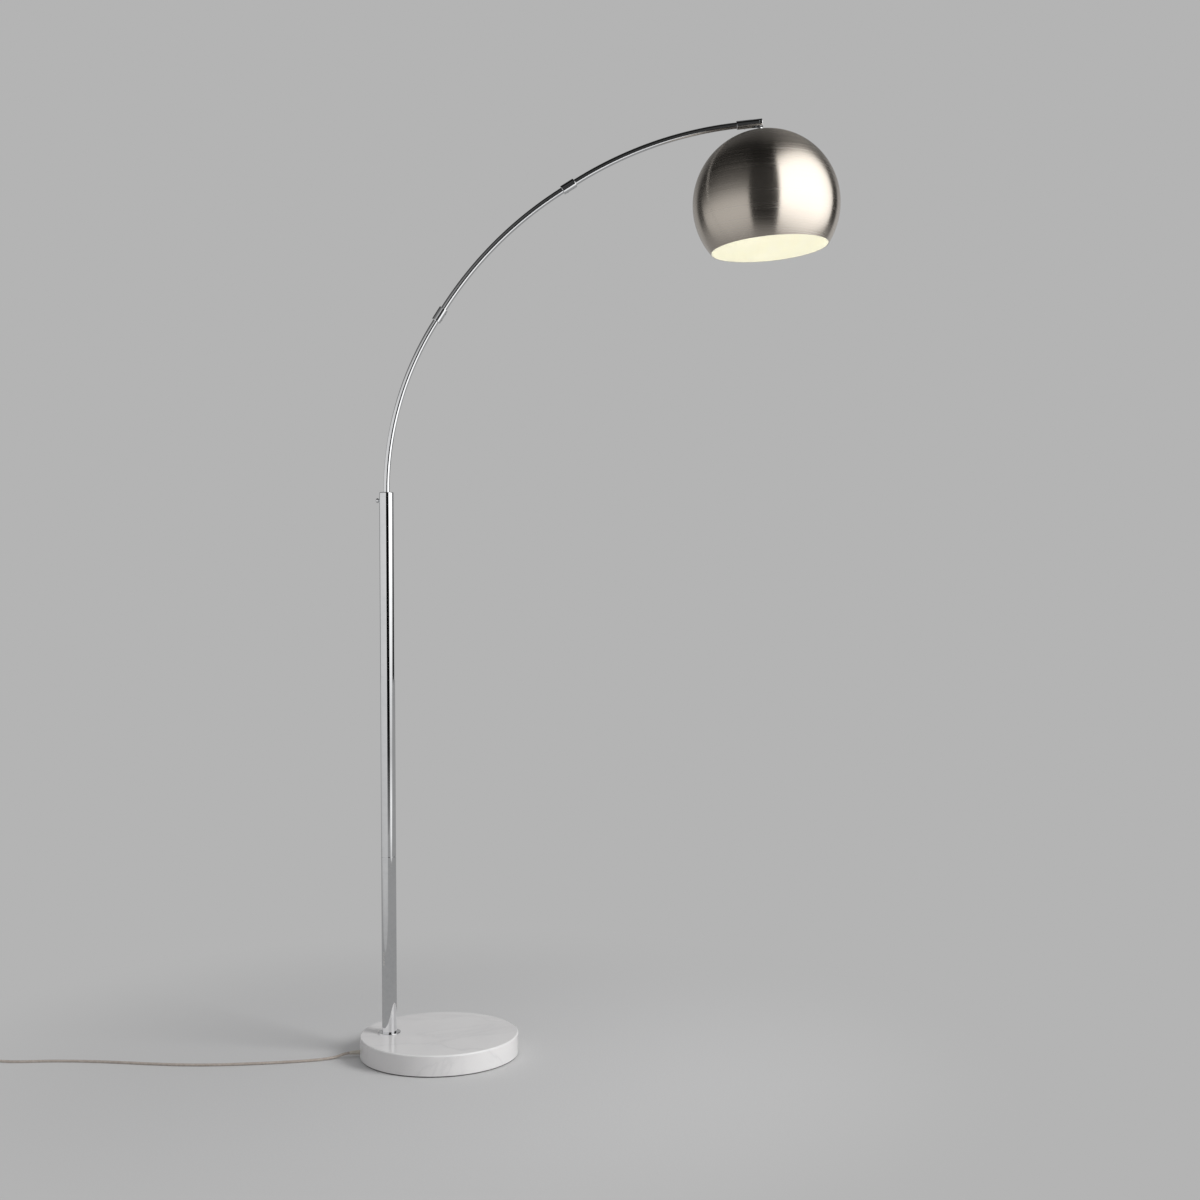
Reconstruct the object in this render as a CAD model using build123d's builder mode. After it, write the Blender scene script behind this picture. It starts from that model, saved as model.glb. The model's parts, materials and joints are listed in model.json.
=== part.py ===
"""Arc floor lamp: round marble base, three-part pole, three-part bowed arm, tilting ball shade.

Millimetres, +Z up.  The origin is the centre of the base's underside, on the floor.
The pole stands off-centre on the base and the arm bows over it towards +X.
"""
import os
from math import cos, pi, radians, sin, sqrt, tan

from build123d import *

os.makedirs("parts", exist_ok=True)


def save(builder, name):
    builder.part.label = name
    export_step(builder.part, f"parts/{name}.step")


# ---------------------------------------------------------------- driving dimensions
# clearances
TURNING_GAP = 0.05      # radial gap where one piece turns or slides in another
LOOSE_GAP = 0.6         # radial gap where a piece only passes through

# base
BASE_RADIUS = 150.0
MARBLE_HEIGHT = 38.0
PAD_HEIGHT = 2.0
PAD_INSET = 2.0         # the pad is this much smaller in radius than the marble
BASE_TOP_ROUND = 3.0
BASE_FOOT_ROUND = 1.0
RING_ROUND = 1.2
RECESS_RADIUS = 26.0
RECESS_DEPTH = 22.0
RING_RADIUS = 21.5
RING_HEIGHT = 3.0
NUT_WIDTH = 22.0        # across flats
NUT_HEIGHT = 7.0
WASHER_RADIUS = 20.0
WASHER_HEIGHT = 3.0
STUD_RADIUS = 6.5
STUD_BORE = 4.8         # radius
STUD_BELOW_NUT = 1.5
STUD_BELOW_TOP = 2.0    # the stud ends this far below the top of the pole's foot

# pole
POLE_OFFSET = 95.0      # pole axis, to the -X side of the base's centre
POLE_RADIUS = 14.0
POLE_WALL = 1.2
POLE_SEAT = 6.0         # the pole's foot is let into the marble by this much
SECTION_LENGTH = 342.0
POLE_SECTIONS = ("pole_lower", "pole_middle", "pole_upper")
JOINT_CHAMFER = 0.4
END_CHAMFER = 1.0       # on the ends of pieces that slip into the pole
JOINER_LENGTH = 48.0
JOINER_BORE = 9.0       # radius
FOOT_LENGTH = 24.0
CAP_HEIGHT = 8.8
CAP_SPIGOT = 30.0
CAP_ROUND = 2.2
NECK_BUSH_WALL = 2.0
BUSH_BELOW_TOP = 0.6
CAP_LIP = 3.0

# arm
ARM_RADIUS = 6.0
ARM_WALL = 1.2
SHANK_LENGTH = 248.0    # straight part that stands in the pole
LOWER_ARC_RADIUS = 600.0
LOWER_ARC_ANGLE = 32.8
UPPER_ARC_RADIUS = 731.0
MIDDLE_ARC_ANGLE = 25.2
UPPER_ARC_ANGLE = 25.8
SLEEVE_RADIUS = 9.0
SLEEVE_LENGTH = 28.0
SLEEVE_ROUND = 0.8
GUIDE_LENGTH = 24.0
COLLAR_RADIUS = 8.5
COLLAR_HEIGHT = 5.0
CLIP_HEIGHT = 3.0

# head at the end of the arm
HEAD_RADIUS = 8.25
HEAD_LENGTH = 49.0
HEAD_SEAT = 24.0        # depth of the arm's seat in the head
HEAD_GRUB_ALONG = 14.4  # of the head's grub screw from the head's start
HEAD_ROUND = 0.7
HEAD_WIRE_BORE = 3.5    # radius
FORK_GAP = 8.6
FORK_DEPTH = 20.0
PIVOT_FROM_END = 4.6
PIN_RADIUS = 2.0
PIN_BELOW_FACE = 0.8
PIN_CHAMFER = 0.3
GRUB_RADIUS = 1.5
GRUB_LENGTH = 2.8
GRUB_SOCKET = 1.5       # across flats
GRUB_SOCKET_FLOOR = 1.2

# shade and lampholder
SHADE_TILT = 4.2        # the shade's axis leans by this angle, opening towards +X
SHADE_RADIUS = 140.0
SHADE_WALL = 0.7
SHADE_BELOW_CENTRE = 84.0
STEM_DROP = 15.9        # from the tilt pin to the top of the shade
STEM_RADIUS = 5.0
STEM_BORE = 4.0         # radius
WIRE_HOLE = 0.8         # radius of the hole for one core
WIRE_RADIUS = 0.7
WIRE_OFFSET = 2.95      # of each core from the shade's axis
STEM_LENGTH = 30.0
TONGUE_THICKNESS = 4.0
TONGUE_DROP = 9.5
TONGUE_FLOOR = 2.0      # metal left between the tongue and the stem's bore
COLLAR_TOP_RADIUS = 10.0
COLLAR_TOP_HEIGHT = 3.0
COLLAR_TOP_ROUND = 1.2
LOCK_NUT_RADIUS = 8.5
LOCK_NUT_HEIGHT = 4.0
HOLDER_RADIUS = 19.0
HOLDER_WALL = 1.6
HOLDER_CAP_HEIGHT = 22.0
HOLDER_SKIRT_HEIGHT = 33.0
HOLDER_NECK_RADIUS = 8.0
HOLDER_NECK_HEIGHT = 6.0
HOLDER_SHOULDER = 7.0   # drop of the cap's sloping shoulder
HOLDER_ROOF = 2.0       # material over the cap's hollow
HOLDER_LIP = 2.0        # turned-in lip at the skirt's end
CORE_HEIGHT = 12.0
CORE_ABOVE_JOINT = 4.0  # the core stands this far into the cap
CONTACT_RADIUS = 2.0
CONTACT_SPREAD = 4.0    # widest radius of the sprung contact
CONTACT_DROP = 2.5
THREAD_SHELL_RADIUS = 14.2
THREAD_SHELL_WALL = 0.5
THREAD_SHELL_HEIGHT = 20.0
BULB_CAP_RADIUS = 13.2
BULB_CAP_HEIGHT = 24.0
BULB_CAP_WALL = 0.6
BULB_CAP_ROOF = 1.2
BULB_CAP_ROUND = 1.0
BULB_CAP_SHOULDER = 4.0
SOLDER_RADIUS = 4.5
INSULATOR_RADIUS = 8.0
INSULATOR_HEIGHT = 3.0
GLASS_TUCK = 8.0        # the glass neck reaches this far into the screw cap
BULB_SHOULDER = 38.0    # the ball meets the flared neck at this angle above its widest line
BULB_RADIUS = 30.0
BULB_LENGTH = 105.0     # from the cap's contact to the tip of the glass
GLASS_WALL = 0.8

# clamping screw near the top of the pole
CLAMP_BELOW_TOP = 15.8
CLAMP_RADIUS = 2.5
CLAMP_KNOB_RADIUS = 4.5
CLAMP_KNOB_LENGTH = 6.2
FLUTES = 12             # grip flutes round the knob's rim
FLUTE_RADIUS = 0.55
FLUTE_CENTRE_OUT = 0.25
FLUTE_LENGTH = 3.72
PAD_RADIUS = 2.0
PAD_THICKNESS = 1.5
CLAMP_AIR = 0.3         # between the nylon pad and the arm
KNOB_AIR = 0.4          # between the knob and the pole

# cord
CORD_RADIUS = 2.5
CHANNEL_ANGLE = 195.0   # the cord leaves the base in this direction, seen from above
CHANNEL_HEIGHT = 8.0
CHANNEL_RADIUS = 4.5
RELIEF_LENGTH = 20.0    # tapered part that stands out of the marble
RELIEF_TIP = 3.4        # its radius at the tip
RELIEF_COLLAR = 3.0     # from the recess wall to the back of the relief's collar
RELIEF_AIR = 0.8        # between that collar and the round wall of the recess
RELIEF_FLANGE = 1.0     # the collar is this much larger in radius than the channel
RELIEF_SHANK_OUT = 2.0  # plain shank outside the marble, before the taper
CABLE_BEND = 10.0
CABLE_SPLIT = 20.0      # the inner cable is in two lengths, parted this far below the shank

# foot switch, coil and plug
SWITCH_X = -868.0
SWITCH_Y = -44.0
SWITCH_LENGTH = 64.0
SWITCH_WIDTH = 28.0
SWITCH_BASE_HEIGHT = 7.0
SWITCH_COVER_HEIGHT = 10.0
SWITCH_WALL = 1.8
SWITCH_END_WALL = 6.0
SWITCH_CORNER = 9.0
SWITCH_INNER_CORNER = 6.0
SWITCH_TOP_ROUND = 4.0
SWITCH_CORD_HEIGHT = 5.0
SWITCH_SCREW_RADIUS = 1.5
SWITCH_SCREW_INSET = 9.0
BLOCK_LENGTH = 24.0     # the sealed contact block inside
BLOCK_WIDTH = 16.0
BLOCK_HEIGHT = 5.4
BUTTON_RADIUS = 8.0
BUTTON_STANDS_OUT = 3.5
BUTTON_TRAVEL = 2.5
BUTTON_AIR = 0.2        # left under the button when it is pressed right down
BUTTON_FLANGE = 1.5
BUTTON_ROUND = 1.5
COIL_X = -882.0
COIL_Y = -112.0
COIL_MIDDLE_RADIUS = 27.5
COIL_HALF_WIDTH = 7.7
COIL_HEIGHT = 10.2
COIL_LIFT = 1.0         # the tie runs under the coil
COIL_ROUND = 2.0
TIE_CORNER = 2.0
TIE_OUTER_CORNER = 2.5
TIE_ANGLE = 60.0
TIE_THICKNESS = 0.8
TIE_WIDTH = 5.0
PLUG_WIDTH = 35.0
PLUG_THICKNESS = 14.0
PLUG_LENGTH = 38.0
PLUG_NOSE = 10.0        # tapered end that takes the cord
PLUG_NOSE_WALL = 1.5
PLUG_CORNER = 5.0
PLUG_WAIST = (21.0, 11.9, 4.0)      # width, thickness and corner where the nose meets the body
PLUG_PAST_COIL = 6.0
PIN_LENGTH = 19.0
PLUG_PIN_RADIUS = 2.0
PLUG_PIN_ROUND = 1.6
PIN_SPACING = 18.6

# ---------------------------------------------------------------- base
pole_x = -POLE_OFFSET
pole_bore = POLE_RADIUS - POLE_WALL
marble_top = PAD_HEIGHT + MARBLE_HEIGHT
seat_z = marble_top - POLE_SEAT
recess_top = PAD_HEIGHT + RECESS_DEPTH
washer_z = recess_top - WASHER_HEIGHT
nut_z = washer_z - NUT_HEIGHT
stud_bottom = nut_z - STUD_BELOW_NUT
foot_top = seat_z + FOOT_LENGTH

# the cord channel runs level from the pole's axis out through the side of the marble
channel_dir = Vector(cos(radians(CHANNEL_ANGLE)), sin(radians(CHANNEL_ANGLE)), 0)
channel_start = Vector(pole_x, 0, CHANNEL_HEIGHT)
axis_along = channel_dir.X * pole_x
channel_length = -axis_along + sqrt(axis_along**2 - POLE_OFFSET**2 + BASE_RADIUS**2)
channel_plane = Plane(origin=channel_start, z_dir=channel_dir)

with BuildPart() as marble_base:
    with BuildSketch(Plane.XY.offset(PAD_HEIGHT)):
        Circle(BASE_RADIUS)
    extrude(amount=MARBLE_HEIGHT)
    fillet(marble_base.edges().sort_by(Axis.Z)[-1], BASE_TOP_ROUND)
    fillet(marble_base.edges().sort_by(Axis.Z)[0], BASE_FOOT_ROUND)
    with Locations((pole_x, 0, marble_top)):
        CounterBoreHole(STUD_RADIUS + LOOSE_GAP, POLE_RADIUS + TURNING_GAP, POLE_SEAT)
    with BuildSketch(Plane.XY.offset(PAD_HEIGHT)):
        with Locations((pole_x, 0)):
            Circle(RECESS_RADIUS)
    extrude(amount=RECESS_DEPTH, mode=Mode.SUBTRACT)
    with BuildSketch(channel_plane.offset(RECESS_RADIUS / 2)):
        Circle(CHANNEL_RADIUS)
    extrude(amount=channel_length, mode=Mode.SUBTRACT)
save(marble_base, "marble_base")

with BuildPart() as base_pad:
    with BuildSketch():
        Circle(BASE_RADIUS - PAD_INSET)
    extrude(amount=PAD_HEIGHT)
save(base_pad, "base_pad")

with BuildPart() as base_ring:
    with BuildSketch(Plane.XY.offset(marble_top)):
        with Locations((pole_x, 0)):
            Circle(RING_RADIUS)
            Circle(POLE_RADIUS + TURNING_GAP, mode=Mode.SUBTRACT)
    extrude(amount=RING_HEIGHT)
    fillet(base_ring.edges().group_by(Axis.Z)[-1].sort_by(SortBy.LENGTH)[-1], RING_ROUND)
save(base_ring, "base_ring")

with BuildPart() as base_washer:
    with BuildSketch(Plane.XY.offset(washer_z)):
        with Locations((pole_x, 0)):
            Circle(WASHER_RADIUS)
            Circle(STUD_RADIUS + TURNING_GAP, mode=Mode.SUBTRACT)
    extrude(amount=WASHER_HEIGHT)
save(base_washer, "base_washer")

with BuildPart() as base_nut:
    with BuildSketch(Plane.XY.offset(nut_z)):
        with Locations((pole_x, 0)):
            RegularPolygon(NUT_WIDTH / 2, 6, major_radius=False)
            Circle(STUD_RADIUS, mode=Mode.SUBTRACT)
    extrude(amount=NUT_HEIGHT)
save(base_nut, "base_nut")

with BuildPart() as base_stud:
    with BuildSketch(Plane.XY.offset(stud_bottom)):
        with Locations((pole_x, 0)):
            Circle(STUD_RADIUS)
            Circle(STUD_BORE, mode=Mode.SUBTRACT)
    extrude(amount=foot_top - stud_bottom - STUD_BELOW_TOP)
save(base_stud, "base_stud")

# moulded strain relief: a collar inside the recess, a shank in the marble, a tapered nose outside
relief_tip = channel_length + RELIEF_LENGTH
with BuildPart() as cord_relief:
    with BuildSketch(Plane.XZ):
        with BuildLine():
            Polyline(
                (CORD_RADIUS, RECESS_RADIUS - RELIEF_COLLAR),
                (CHANNEL_RADIUS + RELIEF_FLANGE, RECESS_RADIUS - RELIEF_COLLAR),
                (CHANNEL_RADIUS + RELIEF_FLANGE, RECESS_RADIUS - RELIEF_AIR),
                (CHANNEL_RADIUS - TURNING_GAP, RECESS_RADIUS - RELIEF_AIR),
                (CHANNEL_RADIUS - TURNING_GAP, channel_length + RELIEF_SHANK_OUT),
                (RELIEF_TIP, relief_tip),
                (CORD_RADIUS, relief_tip),
                close=True,
            )
        make_face()
    revolve(axis=Axis.Z)
cord_relief.part = channel_plane.location * cord_relief.part
save(cord_relief, "cord_relief")

# ---------------------------------------------------------------- pole
section_bottoms = [seat_z + SECTION_LENGTH * i for i in range(len(POLE_SECTIONS))]
pole_top_joint = seat_z + SECTION_LENGTH * len(POLE_SECTIONS)
pole_top = pole_top_joint + CAP_HEIGHT
clamp_z = pole_top - CLAMP_BELOW_TOP

with BuildPart() as pole_foot:
    with BuildSketch(Plane.XY.offset(seat_z)):
        with Locations((pole_x, 0)):
            Circle(pole_bore)
            Circle(STUD_RADIUS, mode=Mode.SUBTRACT)
    extrude(amount=FOOT_LENGTH)
    chamfer(pole_foot.edges().group_by(Axis.Z)[-1], END_CHAMFER)
save(pole_foot, "pole_foot")

for name, bottom in zip(POLE_SECTIONS, section_bottoms):
    with BuildPart() as pole_section:
        with BuildSketch(Plane.XY.offset(bottom)):
            with Locations((pole_x, 0)):
                Circle(POLE_RADIUS)
                Circle(pole_bore, mode=Mode.SUBTRACT)
        extrude(amount=SECTION_LENGTH)
        outer_rims = pole_section.edges().filter_by(GeomType.CIRCLE).filter_by(
            lambda edge: edge.radius > POLE_RADIUS - POLE_WALL / 2
        )
        chamfer(outer_rims, JOINT_CHAMFER)
        if name == POLE_SECTIONS[-1]:
            with BuildSketch(Plane(origin=(pole_x, 0, clamp_z), z_dir=(-1, 0, 0))):
                Circle(CLAMP_RADIUS + LOOSE_GAP)
            extrude(amount=POLE_RADIUS + 1, mode=Mode.SUBTRACT)
    save(pole_section, name)

for name, joint_z in zip(("pole_joiner_lower", "pole_joiner_upper"), section_bottoms[1:]):
    with BuildPart() as pole_joiner:
        with BuildSketch(Plane.XY.offset(joint_z - JOINER_LENGTH / 2)):
            with Locations((pole_x, 0)):
                Circle(pole_bore)
                Circle(JOINER_BORE, mode=Mode.SUBTRACT)
        extrude(amount=JOINER_LENGTH)
        chamfer(pole_joiner.edges().group_by(Axis.Z)[0].sort_by(SortBy.LENGTH)[-1], END_CHAMFER)
        chamfer(pole_joiner.edges().group_by(Axis.Z)[-1].sort_by(SortBy.LENGTH)[-1], END_CHAMFER)
    save(pole_joiner, name)

bush_outer = ARM_RADIUS + TURNING_GAP + NECK_BUSH_WALL
cap_bottom = pole_top_joint - CAP_SPIGOT
bush_bottom = cap_bottom + CAP_LIP
with BuildPart() as pole_cap:
    with BuildSketch(Plane.XZ):
        with BuildLine():
            Polyline(
                (ARM_RADIUS + LOOSE_GAP, cap_bottom),
                (pole_bore, cap_bottom),
                (pole_bore, pole_top_joint),
                (POLE_RADIUS, pole_top_joint),
                (POLE_RADIUS, pole_top),
                (bush_outer, pole_top),
                (bush_outer, bush_bottom),
                (ARM_RADIUS + LOOSE_GAP, bush_bottom),
                close=True,
            )
        make_face()
    revolve(axis=Axis.Z)
    fillet(pole_cap.edges().group_by(Axis.Z)[-1].sort_by(SortBy.LENGTH)[-1], CAP_ROUND)
    with BuildSketch(Plane(origin=(0, 0, clamp_z), z_dir=(-1, 0, 0))):
        Circle(CLAMP_RADIUS + TURNING_GAP)
    extrude(amount=POLE_RADIUS + 1, mode=Mode.SUBTRACT)
pole_cap.part = Pos(pole_x, 0, 0) * pole_cap.part
save(pole_cap, "pole_cap")

with BuildPart() as neck_bush:
    with BuildSketch(Plane.XY.offset(bush_bottom)):
        with Locations((pole_x, 0)):
            Circle(bush_outer)
            Circle(ARM_RADIUS + TURNING_GAP, mode=Mode.SUBTRACT)
    extrude(amount=pole_top - BUSH_BELOW_TOP - bush_bottom)
    with BuildSketch(Plane(origin=(pole_x, 0, clamp_z), z_dir=(-1, 0, 0))):
        Circle(CLAMP_RADIUS + LOOSE_GAP)
    extrude(amount=bush_outer + 1, mode=Mode.SUBTRACT)
save(neck_bush, "neck_bush")

# ---------------------------------------------------------------- clamping screw
arm_face_x = pole_x - ARM_RADIUS - CLAMP_AIR
knob_face_x = pole_x - POLE_RADIUS - KNOB_AIR
with BuildPart() as clamp_pad:
    with BuildSketch(Plane(origin=(arm_face_x, 0, clamp_z), z_dir=(-1, 0, 0))):
        Circle(PAD_RADIUS)
    extrude(amount=PAD_THICKNESS)
save(clamp_pad, "clamp_pad")

screw_start_x = arm_face_x - PAD_THICKNESS
screw_length = screw_start_x - knob_face_x + CLAMP_KNOB_LENGTH / 2
with BuildPart() as clamp_screw:
    with BuildSketch(Plane(origin=(screw_start_x, 0, clamp_z), z_dir=(-1, 0, 0))):
        Circle(CLAMP_RADIUS)
    extrude(amount=screw_length)
save(clamp_screw, "clamp_screw")

with BuildPart() as clamp_knob:
    with BuildSketch(Plane(origin=(knob_face_x, 0, clamp_z), z_dir=(-1, 0, 0))):
        Circle(CLAMP_KNOB_RADIUS)
    extrude(amount=CLAMP_KNOB_LENGTH)
    fillet(clamp_knob.edges().group_by(Axis.X)[0], CLAMP_KNOB_LENGTH / 3)
    with BuildSketch(Plane(origin=(knob_face_x, 0, clamp_z), z_dir=(-1, 0, 0))):
        Circle(CLAMP_RADIUS)
    extrude(amount=CLAMP_KNOB_LENGTH / 2, mode=Mode.SUBTRACT)
    # grip flutes round the rim
    with BuildSketch(Plane(origin=(knob_face_x, 0, clamp_z), z_dir=(-1, 0, 0))):
        with PolarLocations(CLAMP_KNOB_RADIUS + FLUTE_CENTRE_OUT, FLUTES):
            Circle(FLUTE_RADIUS)
    extrude(amount=FLUTE_LENGTH, mode=Mode.SUBTRACT)
save(clamp_knob, "clamp_knob")

# ---------------------------------------------------------------- arm
# The arm is drawn as a walk: each stretch starts where the last one ended, with its heading.
arm_bore = ARM_RADIUS - ARM_WALL
seat_length = SLEEVE_LENGTH / 2


def heading(angle):
    return Vector(cos(radians(angle)), 0, sin(radians(angle)))


def after_line(start, angle, length):
    return start + heading(angle) * length


def after_arc(start, angle, radius, turn):
    centre = start + heading(angle - 90) * radius
    return centre - heading(angle - turn - 90) * radius


def midway(start, angle, radius, turn):
    return after_arc(start, angle, radius, turn / 2)


bend_start = Vector(pole_x, 0, pole_top)
lower_arc = (90, LOWER_ARC_RADIUS, LOWER_ARC_ANGLE)
lower_end = after_arc(bend_start, *lower_arc)
angle_one = 90 - LOWER_ARC_ANGLE
sleeve_one = after_line(lower_end, angle_one, seat_length)
middle_start = after_line(sleeve_one, angle_one, seat_length)
middle_arc = (angle_one, UPPER_ARC_RADIUS, MIDDLE_ARC_ANGLE)
middle_end = after_arc(middle_start, *middle_arc)
angle_two = angle_one - MIDDLE_ARC_ANGLE
sleeve_two = after_line(middle_end, angle_two, seat_length)
upper_start = after_line(sleeve_two, angle_two, seat_length)
upper_arc = (angle_two, UPPER_ARC_RADIUS, UPPER_ARC_ANGLE)
upper_end = after_arc(upper_start, *upper_arc)
head_angle = angle_two - UPPER_ARC_ANGLE
arm_end = after_line(upper_end, head_angle, HEAD_SEAT)
shank_bottom = Vector(pole_x, 0, pole_top - SHANK_LENGTH)

arm_runs = {
    "arm_lower": (shank_bottom, bend_start, lower_arc, lower_end, sleeve_one),
    "arm_middle": (sleeve_one, middle_start, middle_arc, middle_end, sleeve_two),
    "arm_upper": (sleeve_two, upper_start, upper_arc, upper_end, arm_end),
}
for name, (start, arc_start, (angle, radius, turn), arc_end, end) in arm_runs.items():
    with BuildPart() as arm_tube:
        with BuildLine() as run:
            Line(start, arc_start)
            ThreePointArc(arc_start, midway(arc_start, angle, radius, turn), arc_end)
            Line(arc_end, end)
        with BuildSketch(Plane(origin=start, z_dir=heading(angle))):
            Circle(ARM_RADIUS)
            Circle(arm_bore, mode=Mode.SUBTRACT)
        sweep(path=run.wire())
    save(arm_tube, name)

sleeve_places = ((sleeve_one, angle_one), (sleeve_two, angle_two))
for name, (place, angle) in zip(("sleeve_lower", "sleeve_upper"), sleeve_places):
    sleeve_plane = Plane(origin=place, x_dir=(0, 1, 0), z_dir=heading(angle))
    with BuildPart() as sleeve:
        with BuildSketch(sleeve_plane.offset(-SLEEVE_LENGTH / 2)):
            Circle(SLEEVE_RADIUS)
            Circle(ARM_RADIUS, mode=Mode.SUBTRACT)
        extrude(amount=SLEEVE_LENGTH)
        rims = sleeve.edges().filter_by(GeomType.CIRCLE).filter_by(
            lambda edge: edge.radius > (SLEEVE_RADIUS + ARM_RADIUS) / 2
        )
        fillet(rims, SLEEVE_ROUND)
        for along in (-SLEEVE_LENGTH / 4, SLEEVE_LENGTH / 4):
            with BuildSketch(Plane(origin=place + heading(angle) * along, z_dir=-heading(angle + 90))):
                Circle(GRUB_RADIUS)
            extrude(amount=SLEEVE_RADIUS + 1, mode=Mode.SUBTRACT)
    save(sleeve, name)

# grub screws underneath, two in each sleeve and one in the head; each has a hex socket
grub_places = [
    (place + heading(angle) * along, angle, ARM_RADIUS)
    for place, angle in sleeve_places
    for along in (-SLEEVE_LENGTH / 4, SLEEVE_LENGTH / 4)
]
head_start = after_line(arm_end, head_angle, -HEAD_SEAT)
grub_places.append((after_line(head_start, head_angle, HEAD_GRUB_ALONG), head_angle, ARM_RADIUS))
with BuildPart() as grub_screws:
    for place, angle, depth in grub_places:
        down = Plane(origin=place, z_dir=-heading(angle + 90))
        with BuildSketch(down.offset(depth)):
            Circle(GRUB_RADIUS)
        extrude(amount=min(GRUB_LENGTH, HEAD_RADIUS - depth))
        with BuildSketch(down.offset(depth + GRUB_SOCKET_FLOOR)):
            RegularPolygon(GRUB_SOCKET / 2, 6, major_radius=False)
        extrude(amount=GRUB_LENGTH, mode=Mode.SUBTRACT)
save(grub_screws, "grub_screws")

guide_bottom = shank_bottom.Z + CLIP_HEIGHT
guide_top = guide_bottom + GUIDE_LENGTH
with BuildPart() as guide_bush:
    with BuildSketch(Plane.XY.offset(guide_bottom)):
        with Locations((pole_x, 0)):
            Circle(pole_bore - TURNING_GAP)
            Circle(ARM_RADIUS + TURNING_GAP, mode=Mode.SUBTRACT)
    extrude(amount=GUIDE_LENGTH)
    chamfer(guide_bush.edges().group_by(Axis.Z)[-1].sort_by(SortBy.LENGTH)[-1], END_CHAMFER)
    chamfer(guide_bush.edges().group_by(Axis.Z)[0].sort_by(SortBy.LENGTH)[-1], END_CHAMFER)
save(guide_bush, "guide_bush")

for name, bottom, height in (
    ("shank_collar", guide_top, COLLAR_HEIGHT),
    ("shank_clip", shank_bottom.Z, CLIP_HEIGHT),
):
    with BuildPart() as shank_ring:
        with BuildSketch(Plane.XY.offset(bottom)):
            with Locations((pole_x, 0)):
                Circle(COLLAR_RADIUS)
                Circle(ARM_RADIUS, mode=Mode.SUBTRACT)
        extrude(amount=height)
    save(shank_ring, name)

# ---------------------------------------------------------------- head
pivot = after_line(head_start, head_angle, HEAD_LENGTH - PIVOT_FROM_END)
head_plane = Plane(origin=head_start, x_dir=(0, 1, 0), z_dir=heading(head_angle))
fork_start = HEAD_LENGTH - FORK_DEPTH
with BuildPart() as head:
    with BuildSketch(head_plane):
        Circle(HEAD_RADIUS)
    extrude(amount=HEAD_LENGTH)
    fillet(head.edges().filter_by(GeomType.CIRCLE), HEAD_ROUND)
    with BuildSketch(head_plane):
        Circle(ARM_RADIUS)
    extrude(amount=HEAD_SEAT, mode=Mode.SUBTRACT)
    with BuildSketch(head_plane):
        Circle(HEAD_WIRE_BORE)
    extrude(amount=fork_start + 1, mode=Mode.SUBTRACT)
    with BuildSketch(head_plane.offset(fork_start)):
        Rectangle(FORK_GAP, HEAD_RADIUS * 2 + 2)
    extrude(amount=FORK_DEPTH + 1, mode=Mode.SUBTRACT)
    with BuildSketch(Plane(origin=pivot, z_dir=(0, 1, 0))):
        Circle(PIN_RADIUS)
    extrude(amount=HEAD_RADIUS + 1, both=True, mode=Mode.SUBTRACT)
    with BuildSketch(Plane(origin=grub_places[-1][0], z_dir=-heading(head_angle + 90))):
        Circle(GRUB_RADIUS)
    extrude(amount=HEAD_RADIUS + 1, mode=Mode.SUBTRACT)
save(head, "head")

pin_half = HEAD_RADIUS - PIN_BELOW_FACE
with BuildPart() as tilt_pin:
    with BuildSketch(Plane(origin=pivot - Vector(0, pin_half, 0), z_dir=(0, 1, 0))):
        Circle(PIN_RADIUS)
    extrude(amount=2 * pin_half)
    chamfer(tilt_pin.edges().filter_by(GeomType.CIRCLE), PIN_CHAMFER)
save(tilt_pin, "tilt_pin")

# ---------------------------------------------------------------- shade, hung from the tilt pin
# All of it is drawn about the shade's own axis: x outwards, z up, with the pin at the origin.
shade_place = Location(pivot, (0, -SHADE_TILT, 0))
sphere_z = -STEM_DROP - SHADE_RADIUS
rim_z = sphere_z - SHADE_BELOW_CENTRE
shade_inner = SHADE_RADIUS - SHADE_WALL


def drop_at(radius, ball):
    """How far a ball's surface lies below its top, this far from its axis."""
    return ball - sqrt(ball**2 - radius**2)


def spun(points):
    """A solid of revolution about the shade's axis, from a closed outline."""
    with BuildPart() as turned:
        with BuildSketch(Plane.XZ):
            with BuildLine():
                Polyline(*points, close=True)
            make_face()
        revolve(axis=Axis.Z)
    return turned


def hang(builder, name):
    """Moves a piece from the shade's own axis to its place under the head and writes it."""
    builder.part = shade_place * builder.part
    save(builder, name)


washer_gap = (FORK_GAP - TONGUE_THICKNESS) / 2
with BuildPart() as tongue:
    with BuildSketch(Plane.XZ.offset(-TONGUE_THICKNESS / 2)):
        Circle(STEM_RADIUS)
        with Locations((0, -TONGUE_DROP / 2)):
            Rectangle(STEM_RADIUS * 2, TONGUE_DROP)
        Circle(PIN_RADIUS + TURNING_GAP, mode=Mode.SUBTRACT)
    extrude(amount=TONGUE_THICKNESS)
    with BuildSketch(Plane.XY.offset(-TONGUE_DROP)):
        Circle(STEM_RADIUS)
    extrude(amount=-(STEM_LENGTH - TONGUE_DROP))
    with BuildSketch(Plane.XY.offset(-TONGUE_DROP - TONGUE_FLOOR)):
        Circle(STEM_BORE)
    extrude(amount=-(STEM_LENGTH - TONGUE_DROP - TONGUE_FLOOR), mode=Mode.SUBTRACT)
    # a wire hole on each side of the tongue opens into the bore
    with BuildSketch(Plane.XY.offset(-TONGUE_DROP)):
        with Locations((0, WIRE_OFFSET), (0, -WIRE_OFFSET)):
            Circle(WIRE_HOLE)
    extrude(amount=-TONGUE_FLOOR - 1, mode=Mode.SUBTRACT)
hang(tongue, "tongue")

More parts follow.
